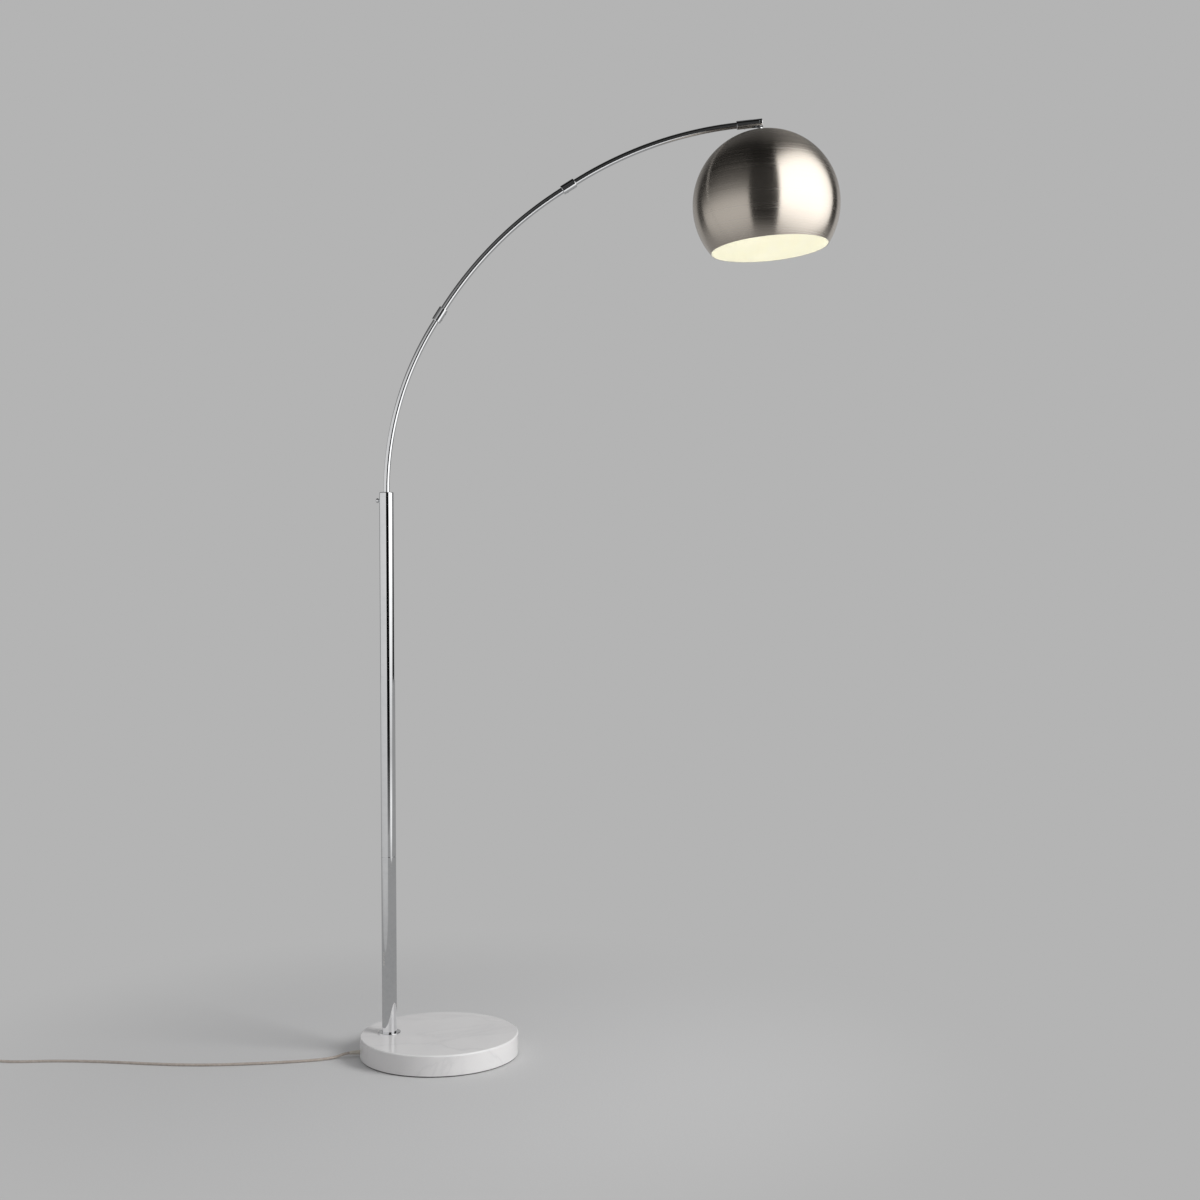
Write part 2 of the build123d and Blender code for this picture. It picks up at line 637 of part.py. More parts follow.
with BuildPart() as tilt_washers:
    for side in (-1, 1):
        face = side * TONGUE_THICKNESS / 2
        with BuildSketch(Plane(origin=(0, face, 0), z_dir=(0, side, 0))):
            Circle(STEM_RADIUS)
            Circle(PIN_RADIUS + TURNING_GAP, mode=Mode.SUBTRACT)
        extrude(amount=washer_gap - TURNING_GAP)
hang(tilt_washers, "tilt_washers")

with BuildPart() as shade_collar:
    with BuildSketch(Plane.XY.offset(-STEM_DROP)):
        Circle(COLLAR_TOP_RADIUS)
        Circle(STEM_RADIUS, mode=Mode.SUBTRACT)
    extrude(amount=COLLAR_TOP_HEIGHT)
    fillet(shade_collar.edges().group_by(Axis.Z)[-1].sort_by(SortBy.LENGTH)[-1], COLLAR_TOP_ROUND)
hang(shade_collar, "shade_collar")

opening_radius = sqrt(SHADE_RADIUS**2 - SHADE_BELOW_CENTRE**2)
inner_opening = sqrt(shade_inner**2 - SHADE_BELOW_CENTRE**2)
with BuildPart() as shade:
    with BuildSketch(Plane.XZ):
        with BuildLine():
            top_out = (STEM_RADIUS, sphere_z + sqrt(SHADE_RADIUS**2 - STEM_RADIUS**2))
            top_in = (STEM_RADIUS, sphere_z + sqrt(shade_inner**2 - STEM_RADIUS**2))
            rim_out = (opening_radius, rim_z)
            rim_in = (inner_opening, rim_z)
            ThreePointArc(top_out, (SHADE_RADIUS, sphere_z), rim_out)
            Line(rim_out, rim_in)
            ThreePointArc(rim_in, (shade_inner, sphere_z), top_in)
            Line(top_in, top_out)
        make_face()
    revolve(axis=Axis.Z)
hang(shade, "shade")

nut_top = -STEM_DROP - SHADE_WALL - drop_at(LOCK_NUT_RADIUS, shade_inner)
nut_bottom = nut_top - LOCK_NUT_HEIGHT
with BuildPart() as lock_nut:
    with BuildSketch(Plane.XY.offset(nut_bottom)):
        RegularPolygon(LOCK_NUT_RADIUS, 6)
        Circle(STEM_RADIUS, mode=Mode.SUBTRACT)
    extrude(amount=LOCK_NUT_HEIGHT)
hang(lock_nut, "lock_nut")

holder_top = nut_bottom
neck_end = holder_top - HOLDER_NECK_HEIGHT
shoulder_end = neck_end - HOLDER_SHOULDER
cap_end = holder_top - HOLDER_CAP_HEIGHT
holder_cap = spun([
    (STEM_RADIUS, holder_top),
    (HOLDER_NECK_RADIUS, holder_top),
    (HOLDER_NECK_RADIUS, neck_end),
    (HOLDER_RADIUS, shoulder_end),
    (HOLDER_RADIUS, cap_end),
    (HOLDER_RADIUS - HOLDER_WALL, cap_end),
    (HOLDER_RADIUS - HOLDER_WALL, shoulder_end - HOLDER_ROOF / 2),
    (HOLDER_NECK_RADIUS, neck_end - HOLDER_ROOF),
    (STEM_RADIUS, neck_end - HOLDER_ROOF),
])
hang(holder_cap, "holder_cap")

skirt_end = cap_end - HOLDER_SKIRT_HEIGHT
holder_skirt = spun([
    (HOLDER_RADIUS - HOLDER_WALL, cap_end),
    (HOLDER_RADIUS, cap_end),
    (HOLDER_RADIUS, skirt_end + HOLDER_LIP),
    (HOLDER_RADIUS - HOLDER_LIP / 2, skirt_end),
    (THREAD_SHELL_RADIUS, skirt_end),
    (THREAD_SHELL_RADIUS, skirt_end + HOLDER_LIP),
    (HOLDER_RADIUS - HOLDER_WALL, skirt_end + HOLDER_LIP),
])
hang(holder_skirt, "holder_skirt")

core_top = cap_end + CORE_ABOVE_JOINT
core_bottom = core_top - CORE_HEIGHT
holder_core = spun([
    (CONTACT_RADIUS, core_top),
    (HOLDER_RADIUS - HOLDER_WALL, core_top),
    (HOLDER_RADIUS - HOLDER_WALL, core_bottom),
    (CONTACT_RADIUS, core_bottom),
])
hang(holder_core, "holder_core")

shell_bottom = core_bottom - THREAD_SHELL_HEIGHT
holder_thread = spun([
    (THREAD_SHELL_RADIUS - THREAD_SHELL_WALL, core_bottom),
    (THREAD_SHELL_RADIUS, core_bottom),
    (THREAD_SHELL_RADIUS, shell_bottom),
    (THREAD_SHELL_RADIUS - THREAD_SHELL_WALL, shell_bottom),
])
hang(holder_thread, "holder_thread")

holder_contact = spun([
    (0, core_top + 1),
    (CONTACT_RADIUS, core_top + 1),
    (CONTACT_RADIUS, core_bottom),
    (CONTACT_SPREAD, core_bottom - CONTACT_DROP / 2),
    (CONTACT_SPREAD - 1, core_bottom - CONTACT_DROP),
    (0, core_bottom - CONTACT_DROP),
])
hang(holder_contact, "holder_contact")

# bulb: solder contact and insulator, screw cap, hollow glass
bulb_top = core_bottom - CONTACT_DROP
bulb_tip = bulb_top - BULB_LENGTH
screw_top = bulb_top - INSULATOR_HEIGHT
bulb_contact = spun([
    (0, bulb_top),
    (SOLDER_RADIUS, bulb_top),
    (INSULATOR_RADIUS, screw_top),
    (0, screw_top),
])
hang(bulb_contact, "bulb_contact")

screw_end = bulb_top - BULB_CAP_HEIGHT
neck_radius = BULB_CAP_RADIUS - BULB_CAP_WALL
bulb_cap = spun([
    (INSULATOR_RADIUS, screw_top),
    (BULB_CAP_RADIUS - BULB_CAP_ROUND, screw_top - 1.5 * BULB_CAP_ROUND),
    (BULB_CAP_RADIUS, screw_top - BULB_CAP_SHOULDER),
    (BULB_CAP_RADIUS, screw_end),
    (neck_radius, screw_end),
    (neck_radius, screw_top - BULB_CAP_SHOULDER - BULB_CAP_ROUND / 2),
    (INSULATOR_RADIUS, screw_top - BULB_CAP_ROOF),
    (0, screw_top - BULB_CAP_ROOF),
    (0, screw_top),
])
hang(bulb_cap, "bulb_cap")

ball_z = bulb_tip + BULB_RADIUS
neck_z = screw_end + GLASS_TUCK
shoulder = radians(BULB_SHOULDER)
meet = (BULB_RADIUS * cos(shoulder), ball_z + BULB_RADIUS * sin(shoulder))
inner_ball = BULB_RADIUS - GLASS_WALL
meet_in = (inner_ball * cos(shoulder), ball_z + inner_ball * sin(shoulder))
with BuildPart() as bulb_glass:
    with BuildSketch(Plane.XZ):
        with BuildLine():
            ThreePointArc((0, bulb_tip), (BULB_RADIUS, ball_z), meet)
            Line(meet, (neck_radius, screw_end))
            Line((neck_radius, screw_end), (neck_radius, neck_z))
            Line((neck_radius, neck_z), (neck_radius - GLASS_WALL, neck_z))
            Line((neck_radius - GLASS_WALL, neck_z), (neck_radius - GLASS_WALL, screw_end))
            Line((neck_radius - GLASS_WALL, screw_end), meet_in)
            ThreePointArc(meet_in, (inner_ball, ball_z), (0, bulb_tip + GLASS_WALL))
            Line((0, bulb_tip + GLASS_WALL), (0, bulb_tip))
        make_face()
    revolve(axis=Axis.Z)
hang(bulb_glass, "bulb_glass")

# ---------------------------------------------------------------- cables held inside
cable_split = shank_bottom.Z - CABLE_SPLIT
with BuildPart() as pole_cable:
    with BuildLine() as run:
        FilletPolyline(
            channel_start + channel_dir * relief_tip,
            channel_start,
            (pole_x, 0, cable_split),
            radius=CABLE_BEND,
        )
    with BuildSketch(Plane(origin=channel_start + channel_dir * relief_tip, z_dir=-channel_dir)):
        Circle(CORD_RADIUS)
    sweep(path=run.wire())
save(pole_cable, "pole_cable")

cable_start = Vector(pole_x, 0, cable_split)
with BuildPart() as arm_cable:
    with BuildLine() as run:
        Line(cable_start, bend_start)
        ThreePointArc(bend_start, midway(bend_start, *lower_arc), lower_end)
        Line(lower_end, middle_start)
        ThreePointArc(middle_start, midway(middle_start, *middle_arc), middle_end)
        Line(middle_end, upper_start)
        ThreePointArc(upper_start, midway(upper_start, *upper_arc), upper_end)
        Line(upper_end, after_line(head_start, head_angle, fork_start))
    with BuildSketch(Plane.XY.offset(cable_split)):
        with Locations((pole_x, 0)):
            Circle(CORD_RADIUS)
    sweep(path=run.wire())
save(arm_cable, "arm_cable")

# two cores from the stem to the lampholder
with BuildPart() as holder_wires:
    with BuildSketch(Plane.XY.offset(core_top)):
        with Locations((0, WIRE_OFFSET), (0, -WIRE_OFFSET)):
            Circle(WIRE_RADIUS)
    extrude(amount=-TONGUE_DROP - TONGUE_FLOOR - core_top)
hang(holder_wires, "holder_wires")


# ---------------------------------------------------------------- free cord on the floor
def route_radii(points):
    """One arc for each corner: 0.45 of its shorter run over the tangent of half the turn."""
    radii = []
    for before, here, after in zip(points, points[1:], points[2:]):
        run_in = here - before
        run_out = after - here
        turn = radians(run_in.get_angle(run_out))
        radii.append(0.45 * min(run_in.length, run_out.length) / tan(turn / 2))
    return radii


def cord_tube(points, name):
    route = [Vector(*point) for point in points]
    radii = route_radii(route)
    print(name, "radii", [round(radius, 1) for radius in radii])
    with BuildPart() as tube:
        with BuildLine() as run:
            FilletPolyline(*route, radius=radii)
        with BuildSketch(Plane(origin=route[0], z_dir=route[1] - route[0])):
            Circle(CORD_RADIUS)
        sweep(path=run.wire())
    section = pi * CORD_RADIUS**2
    length = run.wire().length
    print(name, "length", round(length, 1), "volume over section", round(tube.part.volume / section, 1))
    save(tube, name)


switch_near = SWITCH_X + SWITCH_LENGTH / 2
switch_far = SWITCH_X - SWITCH_LENGTH / 2
cord_exit = channel_start + channel_dir * relief_tip
cord_tube(
    [
        tuple(cord_exit),
        (-178.5, -22.6, 7.1),
        (-190.0, -28.0, 3.4),
        (-206.0, -37.0, 2.5),
        (-232.0, -46.5, 2.5),
        (-278.0, -56.5, 2.5),
        (-338.0, -65.0, 2.5),
        (-402.0, -71.5, 2.5),
        (-466.0, -71.0, 2.5),
        (-534.0, -63.0, 2.5),
        (-602.0, -51.0, 2.5),
        (-668.0, -43.5, 2.5),
        (-730.0, -41.5, 2.5),
        (-780.0, -45.5, 2.5),
        (-812.0, -46.0, 3.2),
        (switch_near, SWITCH_Y, SWITCH_CORD_HEIGHT),
    ],
    "cord",
)

cavity_length = SWITCH_LENGTH - 2 * SWITCH_END_WALL
cavity_width = SWITCH_WIDTH - 2 * SWITCH_WALL
with BuildPart() as switch_base:
    with BuildSketch():
        with Locations((SWITCH_X, SWITCH_Y)):
            RectangleRounded(SWITCH_LENGTH, SWITCH_WIDTH, SWITCH_CORNER)
    extrude(amount=SWITCH_BASE_HEIGHT)
    with BuildSketch(Plane.XY.offset(SWITCH_WALL)):
        with Locations((SWITCH_X, SWITCH_Y)):
            RectangleRounded(cavity_length, cavity_width, SWITCH_INNER_CORNER)
    extrude(amount=SWITCH_BASE_HEIGHT, mode=Mode.SUBTRACT)
save(switch_base, "switch_base")

switch_top = SWITCH_BASE_HEIGHT + SWITCH_COVER_HEIGHT
with BuildPart() as switch_cover:
    with BuildSketch(Plane.XY.offset(SWITCH_BASE_HEIGHT)):
        with Locations((SWITCH_X, SWITCH_Y)):
            RectangleRounded(SWITCH_LENGTH, SWITCH_WIDTH, SWITCH_CORNER)
    extrude(amount=SWITCH_COVER_HEIGHT)
    fillet(switch_cover.edges().group_by(Axis.Z)[-1], SWITCH_TOP_ROUND)
    with BuildSketch(Plane.XY.offset(SWITCH_BASE_HEIGHT)):
        with Locations((SWITCH_X, SWITCH_Y)):
            RectangleRounded(cavity_length, cavity_width, SWITCH_INNER_CORNER)
    extrude(amount=SWITCH_COVER_HEIGHT - SWITCH_WALL, mode=Mode.SUBTRACT)
    with Locations((SWITCH_X, SWITCH_Y, switch_top)):
        Hole(BUTTON_RADIUS + TURNING_GAP, SWITCH_WALL * 3)
save(switch_cover, "switch_cover")

with BuildPart() as switch_core:
    with BuildSketch(Plane.XY.offset(SWITCH_WALL)):
        with Locations((SWITCH_X, SWITCH_Y)):
            Rectangle(BLOCK_LENGTH, BLOCK_WIDTH)
    extrude(amount=BLOCK_HEIGHT)
save(switch_core, "switch_core")

with BuildPart() as switch_screws:
    for along in (-1, 1):
        screw_x = SWITCH_X + along * (SWITCH_LENGTH / 2 - SWITCH_SCREW_INSET)
        with BuildSketch(Plane.XY.offset(SWITCH_WALL)):
            with Locations((screw_x, SWITCH_Y)):
                Circle(SWITCH_SCREW_RADIUS)
        extrude(amount=switch_top - 2 * SWITCH_WALL)
save(switch_screws, "switch_screws")

button_bottom = SWITCH_WALL + BLOCK_HEIGHT + BUTTON_TRAVEL + BUTTON_AIR
with BuildPart() as switch_button:
    with BuildSketch(Plane.XY.offset(button_bottom)):
        with Locations((SWITCH_X, SWITCH_Y)):
            Circle(BUTTON_RADIUS)
    extrude(amount=switch_top + BUTTON_STANDS_OUT - button_bottom)
    fillet(switch_button.edges().group_by(Axis.Z)[-1], BUTTON_ROUND)
    with BuildSketch(Plane.XY.offset(button_bottom)):
        with Locations((SWITCH_X, SWITCH_Y)):
            Circle(BUTTON_RADIUS + BUTTON_FLANGE)
    extrude(amount=BUTTON_FLANGE)
save(switch_button, "switch_button")

cord_tube(
    [
        (switch_far, SWITCH_Y, SWITCH_CORD_HEIGHT),
        (-914.0, -44.6, 3.2),
        (-931.0, -50.0, 2.5),
        (-941.0, -66.0, 2.9),
        (-934.0, -84.0, 3.5),
        (-921.0, -97.0, 3.5),
        (COIL_X - COIL_MIDDLE_RADIUS - 2 * CORD_RADIUS, COIL_Y, 3.5),
    ],
    "cord_tail",
)

coil_outer = COIL_MIDDLE_RADIUS + COIL_HALF_WIDTH
coil_inner = COIL_MIDDLE_RADIUS - COIL_HALF_WIDTH
with BuildPart() as cord_coil:
    with BuildSketch(Plane.XY.offset(COIL_LIFT)):
        with Locations((COIL_X, COIL_Y)):
            Circle(coil_outer)
            Circle(coil_inner, mode=Mode.SUBTRACT)
    extrude(amount=COIL_HEIGHT)
    fillet(cord_coil.edges().filter_by(GeomType.CIRCLE), COIL_ROUND)
save(cord_coil, "cord_coil")

# the tie is a flat band round the coil's section, on the side away from the cord's two ends
with BuildPart() as coil_tie:
    tie_centre = (COIL_MIDDLE_RADIUS, COIL_LIFT + COIL_HEIGHT / 2)
    with BuildSketch(Plane.XZ.offset(-TIE_WIDTH / 2)):
        with Locations(tie_centre):
            RectangleRounded(
                2 * (COIL_HALF_WIDTH + TIE_THICKNESS), COIL_HEIGHT + 2 * TIE_THICKNESS, TIE_OUTER_CORNER
            )
            RectangleRounded(2 * COIL_HALF_WIDTH, COIL_HEIGHT, TIE_CORNER, mode=Mode.SUBTRACT)
    extrude(amount=TIE_WIDTH)
coil_tie.part = Location((COIL_X, COIL_Y, 0), (0, 0, TIE_ANGLE)) * coil_tie.part
save(coil_tie, "coil_tie")

plug_back_x = COIL_X + coil_outer + PLUG_PAST_COIL - PLUG_NOSE
plug_y = COIL_Y - COIL_MIDDLE_RADIUS - 2 * CORD_RADIUS
plug_z = PLUG_THICKNESS / 2
cord_tube(
    [
        (COIL_X + 6, plug_y, COIL_LIFT + COIL_HEIGHT - CORD_RADIUS - 0.3),
        (COIL_X + 17, plug_y + 0.5, COIL_LIFT + COIL_HEIGHT - CORD_RADIUS - 0.8),
        (plug_back_x, plug_y, plug_z),
    ],
    "cord_lead",
)

plug_plane = Plane(origin=(plug_back_x, plug_y, plug_z), x_dir=(0, 1, 0), z_dir=(1, 0, 0))
with BuildPart() as plug_body:
    with BuildSketch(plug_plane):
        Circle(CORD_RADIUS + PLUG_NOSE_WALL)
    with BuildSketch(plug_plane.offset(PLUG_NOSE)):
        RectangleRounded(*PLUG_WAIST)
    loft()
    with BuildSketch(plug_plane.offset(PLUG_NOSE)):
        RectangleRounded(*PLUG_WAIST)
    with BuildSketch(plug_plane.offset(PLUG_NOSE + (PLUG_LENGTH - PLUG_NOSE) / 2)):
        RectangleRounded(PLUG_WIDTH, PLUG_THICKNESS, PLUG_CORNER)
    loft()
    with BuildSketch(plug_plane.offset(PLUG_NOSE + (PLUG_LENGTH - PLUG_NOSE) / 2)):
        RectangleRounded(PLUG_WIDTH, PLUG_THICKNESS, PLUG_CORNER)
    extrude(amount=(PLUG_LENGTH - PLUG_NOSE) / 2)
save(plug_body, "plug_body")

with BuildPart() as plug_pins:
    with BuildSketch(plug_plane.offset(PLUG_LENGTH)):
        with Locations((-PIN_SPACING / 2, 0), (PIN_SPACING / 2, 0)):
            Circle(PLUG_PIN_RADIUS)
    extrude(amount=PIN_LENGTH)
    fillet(plug_pins.edges().group_by(Axis.X)[-1], PLUG_PIN_ROUND)
save(plug_pins, "plug_pins")
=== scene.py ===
"""An arc floor lamp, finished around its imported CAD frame.

Order of work: camera, cord, strain relief, foot switch, coil and plug, base, pole, clamping
screw, arm, head, shade, lampholder and bulb, then the floor and the lights. Metres, +Z up, with
the origin at the middle of the base's underside.
"""
import json
from math import atan2, cos, hypot, pi, radians, sin, sqrt

import bpy
from mathutils import Matrix, Vector


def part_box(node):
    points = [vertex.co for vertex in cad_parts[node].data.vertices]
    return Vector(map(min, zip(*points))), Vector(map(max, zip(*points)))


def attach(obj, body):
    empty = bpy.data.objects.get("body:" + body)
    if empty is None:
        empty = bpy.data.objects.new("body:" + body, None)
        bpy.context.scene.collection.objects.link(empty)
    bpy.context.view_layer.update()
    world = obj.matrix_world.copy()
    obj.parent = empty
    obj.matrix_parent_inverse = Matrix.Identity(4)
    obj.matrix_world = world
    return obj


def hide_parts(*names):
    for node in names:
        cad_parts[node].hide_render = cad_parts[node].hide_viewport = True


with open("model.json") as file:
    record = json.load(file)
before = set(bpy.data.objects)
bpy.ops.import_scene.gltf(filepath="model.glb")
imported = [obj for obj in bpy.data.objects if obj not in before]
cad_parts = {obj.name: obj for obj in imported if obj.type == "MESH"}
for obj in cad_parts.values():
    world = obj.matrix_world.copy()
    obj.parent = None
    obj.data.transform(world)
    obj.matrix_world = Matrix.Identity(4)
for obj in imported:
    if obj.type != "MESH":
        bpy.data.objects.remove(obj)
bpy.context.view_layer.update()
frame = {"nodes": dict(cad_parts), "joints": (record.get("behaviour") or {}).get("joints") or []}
nodes = frame["nodes"]
joints = {joint["name"]: joint for joint in frame["joints"]}

# ------------------------------------------------------------------ camera
# A level camera at about half the lamp's height, a little to the right of the base, rolled by a
# third of a degree.
bpy.ops.object.camera_add(
    location=(0.310, -2.931, 0.8616),
    rotation=(radians(90), radians(0.32), 0),
)
camera = bpy.context.object
camera.name = "camera"
camera.data.sensor_width = 36
camera.data.lens = 46.2
bpy.context.scene.camera = camera
bpy.context.scene.view_settings.view_transform = "Standard"

# ------------------------------------------------------------------ cord on the floor
# Thin mains flex: two tinned cores under clear PVC that has yellowed a little. It leaves the
# marble level, drops to the floor and runs off to the left, to a switch worked by foot.
CORD = 0.005


def material(name):
    """A new node material, with its Principled shader and its object coordinates."""
    made = bpy.data.materials.new(name)
    made.use_nodes = True
    tree = made.node_tree
    where = tree.nodes.new("ShaderNodeTexCoord")
    return made, tree, tree.nodes["Principled BSDF"], where.outputs["Object"]


def node(tree, kind, inputs=(), **settings):
    """Adds a node; inputs maps a socket's name or number to a value or to another socket."""
    made = tree.nodes.new("ShaderNode" + kind)
    for key, value in settings.items():
        setattr(made, key, value)
    for key, value in dict(inputs).items():
        if isinstance(value, bpy.types.NodeSocket):
            tree.links.new(value, made.inputs[key])
        else:
            made.inputs[key].default_value = value
    return made


def ramp(tree, factor, *stops):
    """A colour ramp through (position, grey or colour) stops."""
    made = node(tree, "ValToRGB", {"Fac": factor})
    elements = made.color_ramp.elements
    while len(elements) < len(stops):
        elements.new(0.5)
    for element, (position, colour) in zip(elements, stops):
        element.position = position
        if isinstance(colour, float):
            colour = (colour, colour, colour)
        element.color = (*colour, 1)
    return made.outputs["Color"]


def noise(tree, where, scale, detail=2.0, distortion=0.0):
    """A cloud pattern at this many clouds to the metre."""
    settings = {"Vector": where, "Scale": scale, "Detail": detail, "Distortion": distortion}
    return node(tree, "TexNoise", settings).outputs["Fac"]


def stretched(tree, where, scale, rotation):
    """Coordinates turned and stretched, for a pattern that runs one way."""
    settings = {"Vector": where, "Scale": scale, "Rotation": rotation}
    return node(tree, "Mapping", settings).outputs["Vector"]


def relief(tree, shader, height, depth, strength=1.0):
    """Raises the surface by a pattern, up to this depth in metres."""
    bump = node(tree, "Bump", {"Height": height, "Distance": depth, "Strength": strength})
    tree.links.new(bump.outputs["Normal"], shader.inputs["Normal"])


def feed(tree, shader, **sockets):
    """Links patterns to the shader's sockets, as in feed(tree, shader, Roughness=worn)."""
    for key, value in sockets.items():
        tree.links.new(value, shader.inputs[key.replace("_", " ")])


def steady(shader, **sockets):
    """Sets the shader's constant sockets, as in steady(shader, Metallic=1)."""
    for key, value in sockets.items():
        shader.inputs[key.replace("_", " ")].default_value = value


def marks_group():
    """Fine dust and handling marks: a mask from 0, clean, to 1, marked."""
    group = bpy.data.node_groups.new("handling_marks", "ShaderNodeTree")
    group.interface.new_socket("Vector", in_out="INPUT", socket_type="NodeSocketVector")
    scale = group.interface.new_socket("Scale", in_out="INPUT", socket_type="NodeSocketFloat")
    scale.default_value = 8
    group.interface.new_socket("Mask", in_out="OUTPUT", socket_type="NodeSocketFloat")
    start = group.nodes.new("NodeGroupInput")
    end = group.nodes.new("NodeGroupOutput")
    where = start.outputs["Vector"]
    fine = node(group, "Math", {0: start.outputs["Scale"], 1: 14.0}, operation="MULTIPLY")
    cloud = noise(group, where, start.outputs["Scale"], 6.0)
    specks = noise(group, where, fine.outputs[0], 3.0)
    both = node(group, "Math", {0: cloud, 1: specks}, operation="MULTIPLY")
    spread = node(group, "MapRange", {"Value": both.outputs[0], "From Min": 0.18, "From Max": 0.42})
    group.links.new(spread.outputs["Result"], end.inputs["Mask"])
    return group


marks = marks_group()


def marked(tree, where, scale):
    """The handling-marks mask at this scale."""
    made = tree.nodes.new("ShaderNodeGroup")
    made.node_tree = marks
    made.inputs["Scale"].default_value = scale
    tree.links.new(where, made.inputs["Vector"])
    return made.outputs["Mask"]


def finish_nodes(made, *names):
    """Gives CAD pieces this material."""
    for name in names:
        for place in nodes[name].material_slots:
            place.material = made


def flex_material():
    made, tree, shader, where = material("clear_flex")
    # the twisted cores show through as a faint mottle along the flex
    cores = noise(tree, where, 160.0)
    tone = ramp(tree, cores, (0.35, (0.42, 0.365, 0.32)), (0.65, (0.49, 0.435, 0.39)))
    worn = ramp(tree, marked(tree, where, 30.0), (0.0, 0.18), (1.0, 0.4))
    feed(tree, shader, Base_Color=tone, Roughness=worn)
    steady(shader, Coat_Weight=0.6, Coat_Roughness=0.12)
    return made


clear_flex = flex_material()


def lay_cord(name, points):
    """One smooth round flex through its route's control points."""
    curve = bpy.data.curves.new(name, "CURVE")
    curve.dimensions = "3D"
    curve.bevel_depth = CORD / 2
    curve.bevel_resolution = 6
    curve.resolution_u = 10
    spline = curve.splines.new("NURBS")
    spline.points.add(len(points) - 1)
    for point, place in zip(spline.points, points):
        point.co = (*place, 1)
    spline.order_u = 3
    spline.use_endpoint_u = True
    laid = bpy.data.objects.new(name, curve)
    bpy.context.scene.collection.objects.link(laid)
    curve.materials.append(clear_flex)
    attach(laid, "stand")
    return laid


cord_exit = (-0.1686, -0.0197, 0.0080)
cord_route = [
    cord_exit,
    (-0.1785, -0.0226, 0.0071),
    (-0.1900, -0.0280, 0.0034),
    (-0.2060, -0.0370, 0.0025),
    (-0.2320, -0.0465, 0.0025),
    (-0.2780, -0.0565, 0.0025),
    (-0.3380, -0.0650, 0.0025),
    (-0.4020, -0.0715, 0.0025),
    (-0.4660, -0.0710, 0.0025),
    (-0.5340, -0.0630, 0.0025),
    (-0.6020, -0.0510, 0.0025),
    (-0.6680, -0.0435, 0.0025),
    (-0.7300, -0.0415, 0.0025),
    (-0.7800, -0.0455, 0.0025),
    (-0.8120, -0.0460, 0.0032),
    (-0.8360, -0.0440, 0.0050),
]
floor_cord = lay_cord("floor_cord", cord_route)
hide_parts("cord")

# ------------------------------------------------------------------ strain relief
# A moulded sleeve of the same soft PVC. Its collar sits in the recess under the marble, its
# shank fills the channel, and the nose outside tapers in ribs so that the flex can't kink.
RELIEF_BORE = CORD / 2
RELIEF_COLLAR = 0.0053
COLLAR_START = 0.0232           # along the channel, from the pole's axis
COLLAR_END = 0.0250
RELIEF_SHANK = 0.00445
RELIEF_NOSE = 0.018
RELIEF_TIP = 0.0034
RELIEF_RIBS = 6
RIB_DEPTH = 0.0005
MERGE = 0.000002
PINCH = MERGE / 4               # a ring this small merges to a point


def select_only(piece):
    bpy.ops.object.select_all(action="DESELECT")
    piece.select_set(True)
    bpy.context.view_layer.objects.active = piece


def settle(piece, centre=(0, 0, 0), turn=(0, 0, 0)):
    """Puts a finished piece in its place and keeps that place in its mesh."""
    select_only(piece)
    piece.location = centre
    piece.rotation_euler = turn
    bpy.ops.object.transform_apply(location=True, rotation=True, scale=True)


def tidy_mesh(piece, smooth=35):
    """Merges doubles, turns the faces outwards and smooths all but the sharp edges."""
    select_only(piece)
    bpy.ops.object.mode_set(mode="EDIT")
    bpy.ops.mesh.select_all(action="SELECT")
    bpy.ops.mesh.remove_doubles(threshold=MERGE)
    bpy.ops.mesh.normals_make_consistent(inside=False)
    bpy.ops.object.mode_set(mode="OBJECT")
    bpy.ops.object.shade_smooth_by_angle(angle=radians(smooth))


def turned(name, outline, sides=64, ring=False, smooth=35):
    """Turns an outline of (radius, height) about Z: a ring is drawn out and resized point by point."""
    bpy.ops.object.select_all(action="DESELECT")
    radius, height = outline[0]
    bpy.ops.mesh.primitive_circle_add(vertices=sides, radius=max(radius, PINCH))
    piece = bpy.context.object
    piece.name = name
    piece.data.name = name
    bpy.ops.object.mode_set(mode="EDIT")
    bpy.ops.mesh.select_mode(type="VERT")
    bpy.ops.mesh.select_all(action="SELECT")
    bpy.ops.transform.translate(value=(0, 0, height))
    for next_radius, next_height in outline[1:] + (outline[:1] if ring else []):
        bpy.ops.mesh.extrude_region_move(
            TRANSFORM_OT_translate={"value": (0, 0, next_height - height)}
        )
        ratio = max(next_radius, PINCH) / max(radius, PINCH)
        bpy.ops.transform.resize(value=(ratio, ratio, 1), center_override=(0, 0, next_height))
        radius, height = next_radius, next_height
    bpy.ops.object.mode_set(mode="OBJECT")
    tidy_mesh(piece, smooth)
    return piece


def dress(piece, made, slot, body, *replaced):
    """Gives a new piece its material, hangs it on its body and hides the CAD pieces that it replaces.
    """
    piece.data.materials.clear()
    piece.data.materials.append(made)
    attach(piece, body)
    if replaced:
        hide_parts(*replaced)


